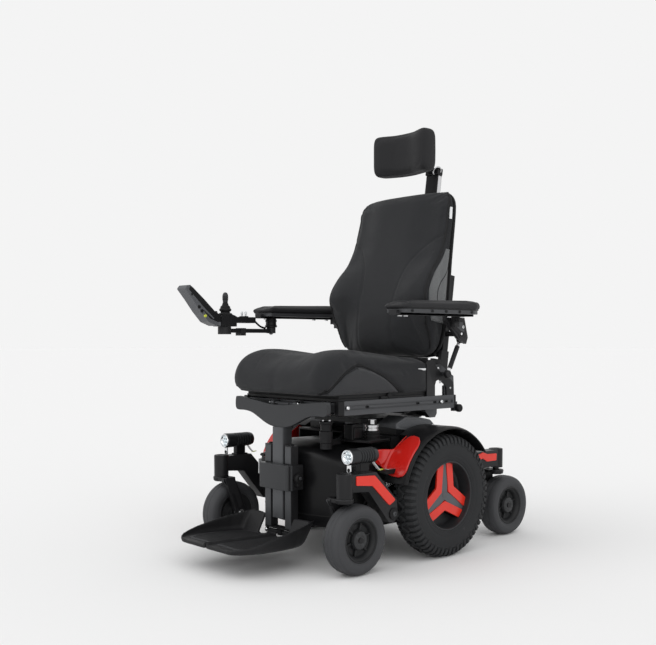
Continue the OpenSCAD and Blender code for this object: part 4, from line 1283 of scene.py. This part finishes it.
def make_seat_frame():
    add_bevel(nodes["seat_frame"], 1.2, 2)
    add_bevel(nodes["seat_pan"], 2.0)
    board = [pair((-205, -336, 468.2), (205, 34, 478.5), 1)]
    draw("seat_base_board", board, "knob_rubber", "seat", bevel=1.5)
    draw("seat_rear_wall", [pair((-196, 39, 469), (196, 46, 578), 1)], "knob_rubber", "seat", bevel=2.0)
    for name, sign in (("left", 1), ("right", -1)):
        caps = [pair((195.5, -345.5, 421.5), (214.2, -322, 462.5), sign)]
        draw("rail_front_cap_" + name, caps, "cover_black", "seat", bevel=3.0)
        rear_cap = [pair((195.5, 146, 422), (214.0, 156, 462), sign)]
        draw("rail_rear_cap_" + name, rear_cap, "cover_black", "seat", bevel=2.5)
        lips = [pair((212.2, -322, 438.4), (213.6, 146, 439.9), sign), pair((212.2, -322, 446.4),
                                                                            (213.6, 146, 447.9), sign),
                pair((196.4, -322, 460.2), (213.5, 146, 462.2), sign), pair((196.4, -322, 421.9),
                                                                            (213.5, 146, 423.8), sign)]
        draw("rail_lips_" + name, lips, "frame_grey", "seat", bevel=0.5)
        dark = [pair((210.0, -322, 456.6), (211.6, 146, 459.6), sign), pair((210.0, -322, 425),
                                                                            (211.6, 146, 428), sign)]
        draw("rail_grooves_" + name, dark, "knob_rubber", "seat", bevel=0.4)
        rings = []
        for y in (-230, -17, 60, 113):
            rings.append(turned([(0, 6.4), (sign * 1.5, 6.2), (sign * 1.8, 5.4), (sign * 1.8, 3.7), (0, 3.7)],
                                (sign * 210.2, y, 443), "x", 28))
        draw("rail_hole_rims_" + name, rings, "knob_rubber", "seat")
        heads = [bolt((sign * 212.6, y, 443), "x", sign, 6.2, 4.2) for y in (-310, 87)]
        draw("rail_bolt_heads_" + name, heads, "chrome", "seat", ["rail_bolts"])
        tab = turned([(sign * 0, 9), (sign * 6, 9), (sign * 8, 7.5), (sign * 8, 0)],
                     (sign * 206, -140, 471), "x", 28, closed=False)
        draw("pan_knob_" + name, [tab, pair((205, -176, 463), (212, -104, 470), sign)], "knob_rubber", "seat",
             bevel=1.0)
        rear = fillet([(20, 462), (20, 560), (28, 572), (56, 572), (62, 554), (86, 532), (132, 511),
                       (146, 498), (144, 462), (112, 462), (110, 486), (101, 497), (76, 511), (63, 507),
                       (58, 494), (58, 462)], [1, 6, 8, 6, 10, 12, 12, 8, 1, 1, 8, 8, 6, 6, 8, 1], 4)
        draw("rear_bracket_" + name, [prism(rear, "x", sign * 207.6, sign * 213)], "frame_black", "seat",
             bevel=1.6)
        marks = [bolt((sign * 213, y, z), "x", sign, r, 2.0) for y, z, r in ((72, 546, 4.0), (80, 504, 4.6),
                                                                             (128, 484, 3.4))]
        draw("rear_bracket_bolts_" + name, marks, "steel", "seat")
        knob = [turned([(sign * a, r) for a, r in ((0, 11.5), (5, 12.5), (12, 12.5), (15, 10), (15, 0))],
                       (sign * 208, 167, 420), "x", 20, closed=False)]
        draw("rear_knob_" + name, knob, "knob_rubber", "seat", bevel=0.8)
    draw("belt_anchor", [cuboid((-197, 126, 436), (197, 131, 452))], "frame_black", "seat", bevel=1.5)
    harness = []
    for k, (x, z) in enumerate(((-60, 427), (-52, 426), (46, 427))):
        path = spline([(x, -312, z + 6), (x + 4, -250, z - 9), (x - 3, -180, z - 12), (x + 2, -100, z - 9),
                       (x, -42, z + 2)], 6)
        harness.append(tube(path, 3.2 - 0.4 * (k % 2), 8))
    draw("seat_harness", harness, "knob_rubber", "seat")


def make_gull_cover():
    outline = [(p[0], p[1]) for p in spline(
        [(-207, 443), (-205, 456), (-198, 462), (-150, 457.5), (-102, 453), (-50, 446.5), (0, 444.5),
         (50, 448), (102, 453.5),
         (150, 458), (198, 462), (205, 456), (207, 443), (205, 428), (194, 421), (160, 421), (128, 416.5),
         (98, 405), (68, 392),
         (36, 382.5), (0, 380), (-36, 382.5), (-68, 392), (-98, 405), (-128, 416.5), (-160, 421),
         (-194, 421), (-205, 428)],
        4, closed=True)]
    face = joined("legrest_face", [prism(outline, "y", -383, -367)])
    finish_piece(face, "gull_grey", "legrest", ["legrest_cover"], bevel=4.5, sharp=50)
    strip = [(p[0] * 0.985, 424 + (p[1] - 424) * 0.95) for p in outline]
    draw("legrest_face_back", [prism(strip, "y", -369, -363.5)], "knob_rubber", "legrest", bevel=1.0)


# ---------- legrest ----------


def make_legrest():
    add_bevel(nodes["legrest_column"], 2.0)
    add_bevel(nodes["legrest_carriage"], 2.2)
    facing = [cuboid((-22.5, -386.4, 118.5), (22.5, -384.2, 380)), cuboid((-24, -385.4, 118.5),
                                                                          (24, -384.4, 380))]
    draw("column_face", facing, "column_grey", "legrest", bevel=0.8)
    front = fillet([(-69, -391), (-60, -405), (60, -405), (69, -391), (69, -386.5), (-69, -386.5)],
                   [5, 10, 10, 5, 2, 2], 4)
    draw("clamp_face", [prism(front, "z", 204, 276)], "gull_grey", "legrest_carriage", bevel=7.0)
    for name, sign in (("left", 1), ("right", -1)):
        knob = [turned([(sign * a, r) for a, r in ((0, 13), (6, 15), (13, 15), (17, 12), (17, 0))],
                       (sign * 67, -372, 238), "x", 18, closed=False), pair((70, -380, 216),
                                                                            (82, -364, 240), sign)]
        draw("clamp_knob_" + name, knob, "knob_rubber", "legrest_carriage", bevel=1.4)
        draw("clamp_knob_bolt_" + name, [bolt((sign * 83.6, -372, 240), "x", sign, 5, 2.5)], "frame_grey",
             "legrest_carriage")
        strips = [pair((32, -386, 92), (58, -383.6, 202), sign), pair((32, -386, 278), (58, -383.6, 327),
                                                                      sign)]
        draw("upright_face_" + name, strips, "column_grey", "legrest_carriage", bevel=1.0)
        screws = [turned([(z, r) for z, r in ((330, 6), (333, 5.6), (334, 4), (334, 0))],
                         (sign * 48, -372, 0), "z", 20, closed=False)]
        draw("upright_plug_" + name, screws, "knob_rubber", "legrest_carriage")
        hinge = [bolt((sign * 62, -358, 448), "x", sign, 8, 4)]
        draw("knee_bolt_" + name, hinge, "chrome", "legrest")


PITCH = math.radians(2.2)


def pitched(p):
    """A place on a level footplate, with the plate pitched up about its pin."""
    y, z = p[1] + 374, p[2] - 76
    return (p[0], -374 + y * math.cos(PITCH) + z * math.sin(PITCH), 76 + z * math.cos(PITCH)
            - y * math.sin(PITCH))


def foot_section(y, shear, half, rim):
    """A scooped section of a footplate at one place along it: an inner rim, a floor and an outer wall."""
    floor, r = 60.0, min(19.0, max(5.0, rim - 62.0))
    outer = [(3, 75), (3, 60), (6, 58)]
    outer += [(half - r + r * math.sin(a), 58 + r - r * math.cos(a)) for a in (math.pi / 2 * k / 6
                                                                               for k in range(7))]
    outer += [(half, rim - 3), (half - 2, rim), (half - 5, rim), (half - 7, rim - 3)]
    inside = max(1.5, r - 8)
    outer += [(half - 7 - inside + inside * math.cos(a), 68 + inside - inside * math.sin(a))
              for a in (math.pi / 2 * k / 5 for k in range(6))]
    outer += [(13, 68), (8, 71), (6.5, 75)]
    return [(x, y + shear * max(0.0, z - floor), z) for x, z in outer]


def make_footplate(name, sign):
    body = "footplate_" + name
    stations = [(-640, 0, 104, 71), (-638, 0, 118, 72), (-631, 0, 130, 74.5), (-616, 0, 143, 77.5),
                (-590, 0, 155, 82), (-560, 0, 160, 89), (-520, 0, 160, 98), (-480, 0.1, 158, 107),
                (-450, 0.25, 153, 114), (-425, 0.45, 145, 121), (-410, 0.55, 137, 126),
                (-402, 0.6, 131, 128)]
    rings = []
    for y, shear, half, rim in stations:
        rings.append([(sign * x, b, z) for x, b, z in foot_section(y, shear, half, rim)])
    scoop = loft(rings)
    heel = loft([[(sign * x, y + 0.5 * (z - 66), z) for x, z in fillet([(64, 61), (131, 61), (131, 127),
                                                                        (64, 124)], [4, 8, 8, 5], 4)]
                 for y in (-412, -403)])
    lug = loft([[(sign * x, y, z) for x, y in ((12.5, -404), (57.5, -404), (57.5, -378), (12.5, -378))]
                for z in (61, 68)])
    barrel = turned([(sign * 12.5, 6.5), (sign * 57.5, 6.5), (sign * 57.5, 0), (sign * 12.5, 0)],
                    (0, -374, 76), "x", 28)
    plate = joined("footplate_scoop_" + name, [([pitched(c) for c in part[0]], part[1]) for part in (scoop,
                                                                                                     heel, lug)] + [barrel])
    remesh(plate, 2.4)
    ease_out = plate.modifiers.new("ease", "SMOOTH")
    ease_out.factor = 0.5
    ease_out.iterations = 4
    bake(plate)
    plate.data.shade_smooth()
    finish_piece(plate, "footplate_grip", body, replaces=["footplate_" + name], sharp=70)
    pad = fillet([(14, -406), (13, -612), (94, -618), (118, -612), (130, -598), (137, -576), (138, -540),
                  (136, -500), (129, -460), (117, -414)], 7, 4)
    corners, faces = prism([(sign * p[0], p[1]) for p in pad], "z", 67, 69.4)
    draw("footplate_pad_" + name, [([pitched(c) for c in corners], faces)], "footplate_pad", body, bevel=0.8)
    ribs = []
    for k in range(12):
        x = 19 + 9.5 * k
        front = along([(18, -604), (100, -606), (118, -598), (130, -566)], x)
        rear = along([(18, -414), (110, -420), (125, -450), (136, -500)], x)
        corners, faces = pair((x, front, 69.0), (x + 3.4, rear, 70.4), sign)
        ribs.append(([pitched(c) for c in corners], faces))
    draw("footplate_ribs_" + name, ribs, "footplate_grip", body, bevel=0.6)
    under = []
    for k in range(4):
        x = 30 + 28 * k
        corners, faces = pair((x, -596 + 6 * k, 54.5), (x + 4, -410 - 10 * k, 59), sign)
        under.append(([pitched(c) for c in corners], faces))
    draw("footplate_webs_" + name, under, "cover_black", body, bevel=0.8)
    end = turned([(sign * a, r) for a, r in ((58, 5), (61.5, 8.5), (64, 8.5), (65.5, 7), (65.5, 0))],
                 (0, -374, 76), "x", 28, closed=False)
    draw("footplate_pin_cap_" + name, [end], "steel", "legrest_carriage")


# ---------- joystick ----------


def make_joystick():
    for name in ("joystick_housing", "joystick_swing_arm"):
        add_bevel(nodes[name], 2.2)
    add_bevel(nodes["joystick_cable"], 0.4)
    x0, x1 = -322.0, -278.0
    under = fillet([(-401, 676), (-432, 687.5), (-461, 718), (-493, 758), (-519, 788), (-510, 798),
                    (-494, 800), (-505, 786), (-484, 764), (-452, 724), (-426, 698), (-398, 688),
                    (-386, 688), (-386, 676)], [6, 8, 5, 5, 5, 4, 5, 6, 4, 4, 6, 4, 2, 2], 4)
    draw("panel_back_shell", [prism(under, "x", x0 - 1.2, x1 + 1.2)], "panel_grey", "joystick_mount",
         ["display_panel"], bevel=2.0)
    core = fillet([(-385, 680), (-398, 686), (-428, 697), (-454, 723), (-486, 762), (-507, 786),
                   (-495, 797), (-449, 759), (-408, 722), (-385, 709)], 4, 4)
    draw("panel_core", [prism(core, "x", x0 + 0.6, x1 - 0.6)], "cover_black", "joystick_mount", bevel=1.6)
    ridge = fillet([(-510, 783), (-502, 783), (-455, 737), (-412, 700), (-413, 696), (-460, 731)], 2, 3)
    draw("panel_side_rib", [prism(ridge, "x", x1 - 1.2, x1 + 1.0), prism(ridge, "x", x0 - 1.0, x0 + 1.2)],
         "panel_grey", "joystick_mount", bevel=0.8)
    slope = Vector((0, 84, -75)).normalized()
    out = Vector((0, slope.z * -1, slope.y))
    start = Vector((-300, -492, 797.5))

    def on_screen(x, down, lift):
        return tuple(start + Vector((x, 0, 0)) + slope * down + out * lift)

    glass = [[on_screen(x, d, lift) for x, d in ((-17, 8), (17, 8), (17, 62), (-17, 62))] for lift in (-2.5,
                                                                                                       0.6)]
    draw("panel_screen", [loft(glass)], "screen_glass", "joystick_mount", bevel=0.9)
    keys = []
    for row in range(3):
        for column in range(3):
            x, d = -12 + 12 * column, 72 + 11 * row
            keys.append(loft([[on_screen(x + a, d + b, lift) for a, b in ((-4, -3.4), (4, -3.4), (4, 3.4),
                                                                          (-4, 3.4))] for lift in (-2.5,
                                                                                                   1.4)]))
    draw("panel_keys", keys, "knob_rubber", "joystick_mount", bevel=0.9)
    hole = turned([(0.9, 0), (0.9, 2.4), (1.6, 3.2), (2.0, 3.6), (2.0, 0)], (x1, -494, 771), "x", 16)
    draw("panel_screw", [hole], "knob_rubber", "joystick_mount")
    collar = [(708, 0), (708, 22.4), (710, 23.2), (713, 23.2), (715, 21.5), (716.5, 19.5), (716.5, 16.6),
              (709, 16.4), (709, 0)]
    draw("stick_collar", [turned(collar, (-300, -353, 0), "z", 44)], "knob_rubber", "joystick_mount",
         bevel=0.7, sharp=40)
    bellows = [(709, 9.4), (713, 14.5), (716, 16.2), (718.5, 15.8), (719.5, 14.4), (721, 14.4),
               (722.5, 17.6), (726.5, 19.4), (730, 18.6), (731.5, 16), (733.5, 15.4), (736, 15.6),
               (739, 13.6), (740.5, 11), (743, 10.2), (747, 8.8), (750, 7.9), (753, 7.4), (753, 4.4),
               (712, 4.4)]
    draw("stick_bellows", [turned(bellows, (-300, -353, 0), "z", 44)], "knob_rubber", "joystick_lever", [],
         sharp=60)
    knob = [(750, 4.2), (750.5, 7.4), (754, 8.1), (760, 8.9), (768, 9.2), (774, 8.6), (779, 6.6),
            (781.5, 3.6), (782.2, 0)]
    draw("stick_knob", [turned(knob, (-300, -353, 0), "z", 40, closed=False)], "stick_grey", "joystick_lever",
         ["joystick_stick"], sharp=60)
    rings = [turned([(z, 9.0), (z + 0.8, 9.9), (z + 1.6, 9.0)], (-300, -353, 0), "z", 40) for z in (759,
                                                                                                    763, 767)]
    draw("stick_grip_rings", rings, "knob_rubber", "joystick_lever", sharp=60)
    ring = [(703, 9.2), (703, 13.4), (705.5, 13.8), (712, 12.4), (712, 9.2)]
    draw("gimbal_ring", [turned(ring, (-300, -353, 0), "z", 40)], "knob_rubber", "joystick_gimbal",
         ["joystick_boot"], bevel=0.5)
    nub = [turned([(706, 5.5), (719, 5.0), (722, 3.8), (723, 0)], (-300, -389, 0), "z", 24, closed=False)]
    draw("horn_button", nub, "knob_rubber", "joystick_mount", sharp=60)
    levers = []
    for x in (-310, -290):
        levers.append(turned([(701, 2.4), (708, 2.5), (713, 3.4), (718, 4.3), (722, 3.9), (724, 2.2),
                              (724.4, 0)], (x, -280, 0), "z", 20, closed=False))
    draw("toggle_levers", levers, "toggle_white", "toggle_switches", ["toggle_switches"], sharp=60)
    guards = []
    for x in (-310, -290):
        guards.append(turned([(704.5, 6.9), (704.5, 9.0), (707.4, 8.6), (708.4, 7.4), (706, 6.9)],
                             (x, -280, 0), "z", 24))
    draw("toggle_collars", guards, "knob_rubber", "joystick_mount")
    cap = [(-276.8, 0), (-276.8, 4.6), (-273.6, 4.4), (-272.6, 3.2), (-272.4, 0)]
    draw("power_key", [turned([(a, r) for a, r in cap], (0, -446, 706), "x", 28)], "button_yellow",
         "power_button", ["power_button"], bevel=0.4)
    jacks = [turned([(0, 5.6), (1.6, 5.4), (1.6, 3.4), (0.6, 3.2), (0.6, 0)], (x1 + 1.0, y, z), "x", 20)
             for y, z in ((-468, 733), (-458, 721))]
    draw("panel_jacks", jacks, "knob_rubber", "joystick_mount")
    post = [(673, 18), (675, 20), (679, 20), (681, 17.6), (690, 17.2), (692, 19), (696, 19), (698, 17.4),
            (706, 17), (709, 15), (709, 0), (673, 0)]
    draw("swing_post_case", [turned(post[:-1] + [(673, 0)], (-300, -168, 0), "z", 36)], "cover_black",
         "armrest_right", bevel=0.8)
    draw("swing_post_bolt", [turned([(z, r) for z, r in ((652, 0), (651.6, 5.4), (648.4, 5.2), (648, 0))],
                                    (-300, -168, 0), "z", 6, closed=False)], "steel", "armrest_right",
         bevel=0.4)
    cable = spline([(-300, -250, 696), (-301, -236, 693), (-304, -222, 684), (-306, -208, 676),
                    (-304, -197, 672), (-300, -190, 671)], 6)
    draw("joystick_lead", [tube(cable, 3.2, 10)], "knob_rubber", "joystick_mount", ["joystick_cable"],
         sharp=60)


# ---------- armrests, links and back ----------


def make_armrest_metal(name, sign):
    body = "armrest_" + name
    mount = "armrest_mount_" + name
    add_bevel(nodes["armrest_bracket_" + name], 1.8)
    add_bevel(nodes["armrest_rail_" + name], 1.6)
    add_bevel(nodes["link_rod_" + name], 0.8)
    rails = [pair((286, -205, 702), (290, 112, 712), sign), pair((310, -205, 702), (314, 112, 712), sign)]
    draw("armrest_channel_" + name, rails, "frame_black", body, bevel=1.2)
    heads = [turned([(z, r) for z, r in ((702, 0), (701, 6.4), (698.5, 6.2), (697.6, 4.6), (697.6, 0))],
                    (sign * 300, y, 0), "z", 20, closed=False) for y in (-192, -168, 20, 78)]
    draw("armrest_screws_" + name, heads, "steel", body)
    gusset = fillet([(58, 701), (146, 699), (160, 652), (156, 636), (130, 642), (64, 691)],
                    [3, 5, 8, 8, 6, 5], 4)
    inset = fillet([(84, 693), (138, 691), (149, 656), (133, 658), (90, 685)], 5, 4)
    plate = [prism(gusset, "x", sign * 251.2, sign * 253.6)]
    draw("bracket_plate_" + name, plate, "frame_black", mount, bevel=1.4)
    draw("bracket_inset_" + name, [prism(inset, "x", sign * 253, sign * 254.4)], "frame_grey", mount,
         bevel=0.9)
    bolts = [bolt((sign * 253.4, y, z), "x", sign, r, 1.6) for y, z, r in ((134, 651, 4.5), (100, 684, 5.0),
                                                                           (142, 672, 5.0))]
    draw("bracket_bolts_" + name, bolts, "chrome", mount)
    boss = turned([(sign * a, r) for a, r in ((254, 0), (254, 13), (240, 13.5), (236, 12), (236, 0))],
                  (0, 134, 651), "x", 32)
    draw("bracket_boss_" + name, [boss], "frame_black", mount, bevel=1.0)
    ends = [turned([(sign * a, r) for a, r in ((224.5, 0), (224.5, 11), (226, 12), (235, 12), (236.2, 11),
                                               (236.2, 0))], (0, y, z), "x", 28) for y,
            z in ((95, 528), (154, 634))]
    draw("link_eyes_" + name, ends, "frame_black", "level_link_" + name, bevel=0.6)
    low, high = Vector((sign * 230.5, 95, 528)), Vector((sign * 230.5, 154, 634))
    sleeve = [low.lerp(high, t) for t in (0.16, 0.17, 0.80, 0.81)]
    draw("link_sleeve_" + name, [tube(sleeve, [5.6, 7.4, 7.4, 5.6], 20)], "frame_black", "level_link_" + name,
         bevel=0.8, sharp=50)


def make_back():
    for name in ("backrest_frame", "backrest_shell", "headrest_post", "lift_carriage", "lift_column",
                 "chassis_frame", "batteries", "drive_motors", "control_module"):
        add_bevel(nodes[name], 1.8)
    outline = []
    for table_half in (1, -1):
        rows = BACK_HALF if table_half > 0 else list(reversed(BACK_HALF))
        outline += [(table_half * half * 0.955, 300 + (h - 300) * 0.965) for h, half in rows]
    outline = [(p[0], p[1]) for p in spline(outline, 2, closed=True)]
    shell = loft([[back(x, y, h) for x, h in outline] for y in (14.5, 29.5)])
    draw("back_cover", [shell], "cover_black", "backrest", bevel=5.0, sharp=50)
    inner = [(x * 0.86, 300 + (h - 300) * 0.88) for x, h in outline]
    draw("back_cover_panel", [loft([[back(x, y, h) for x, h in inner] for y in (28, 31.5)])], "back_grey",
         "backrest", bevel=1.5, sharp=50)
    edge = [back(x * 1.035, 15.5, 300 + (h - 300) * 1.025) for x, h in outline]
    draw("back_edge_trim", [tube(edge + edge[:1], 4.2, 8)], "knob_rubber", "backrest")
    screws = []
    for x in (-120, 120):
        for h in (120, 300, 480):
            place = back(x, 31, h)
            head = turned([(0, 6.5), (3, 6.2), (4.2, 4.4), (4.2, 0)], (0, 0, 0), "y", 20, closed=False)
            screws.append(([(c[0] + place[0], c[1] + place[1], c[2] + place[2]) for c in head[0]], head[1]))
    draw("back_screws", screws, "steel", "backrest")
    plates = [loft([[back(x, y, h) for x, y in ((a, 60), (a + 4, 60), (a + 4, 146), (a, 146))]
                    for h in (424, 526)]) for a in (-42.3, 38.3)]
    draw("headrest_clamp_cheeks", plates, "frame_black", "backrest", bevel=1.2)
    knob = [turned([(0, 8), (10, 8), (12, 14), (24, 15), (28, 12), (28, 0)], (0, 0, 0), "y", 16,
                   closed=False)]
    place = back(0, 146, 476)
    draw("headrest_knob", [([(c[0] + place[0], c[1] + place[1], c[2] + place[2]) for c in k[0]], k[1])
                           for k in knob], "knob_rubber", "backrest", bevel=1.0)
    edges = [loft([[back(x, y, h) for x, y in ((a, 119.5), (a + 1.2, 119.5), (a + 1.2, 135.5), (a, 135.5))]
                   for h in (553, 664)]) for a in (-26.9, 25.7)]
    draw("headrest_post_edges", edges, "steel", "headrest_slider")


def make_mechanics():
    for name, sign in (("left", 1), ("right", -1)):
        fins = []
        for k in range(6):
            x = sign * (186 + 9 * k)
            fins.append(turned([(0, 54), (0, 60), (sign * 4, 60), (sign * 4, 54)], (x, 0, AXLE_HEIGHT), "x",
                               48))
        draw("motor_fins_" + name, fins, "motor_case", "base", bevel=0.8)
        spring = []
        for k in range(121):
            t = k / 120
            a = 2 * math.pi * 8 * t
            y, z = -196 + 70 * t, 214 + 22 * t
            spring.append((sign * (226 + 11 * math.cos(a)), y, z + 11 * math.sin(a)))
        draw("suspension_spring_" + name, [tube(spring, 2.2, 8)], "steel", "base", sharp=60)
        rod = [tube([(sign * 226, -200, 213), (sign * 226, -120, 238)], 5.5, 16)]
        draw("suspension_rod_" + name, rod, "frame_grey", "base", sharp=60)
    label = [cuboid((-210, -292, 216), (-206, -282, 262))]
    draw("side_label", label, "tag_white", "base", bevel=0.8)
    tops = []
    for x in (-56, 56):
        for y in (-104, 120):
            tops.append(turned([(300, 9), (306, 8.6), (307, 6), (307, 0)], (x, y, 0), "z", 20, closed=False))
    draw("battery_posts", tops, "steel", "base")
    seams = []
    for y0, y1 in ((-141.5, -64.5), (66.5, 179.5)):
        seams.append(cuboid((-86, y0, 282), (86, y1, 288)))
    draw("battery_lids", seams, "cover_black", "base", bevel=1.6)


# ---------- building ----------

make_seat_cushion()
make_backrest_cushion()
make_headrest()
make_front_cover()
make_deck()
make_seat_frame()
make_gull_cover()
make_legrest()
make_joystick()
make_back()
make_mechanics()
for side_name, side_sign in (("left", 1), ("right", -1)):
    make_armrest_pad(side_name, side_sign)
    make_armrest_metal(side_name, side_sign)
    make_drive_tyre(side_name, side_sign)
    make_drive_rim(side_name, side_sign)
    make_fender(side_name, side_sign)
    make_side_panel(side_name, side_sign)
    make_front_arm(side_name, side_sign)
    make_rear_arm(side_name, side_sign)
    make_headlight(side_name, side_sign)
    make_footplate(side_name, side_sign)
    make_caster((side_sign * 278, -346, 95), side_sign, "front_caster_" + side_name)
    make_caster((side_sign * 222, 383, 95), side_sign, "rear_caster_" + side_name)
    make_fork("front_fork_" + side_name, 278, -384, 196, side_sign)
    make_fork("rear_fork_" + side_name, 222, 345, 200, side_sign)
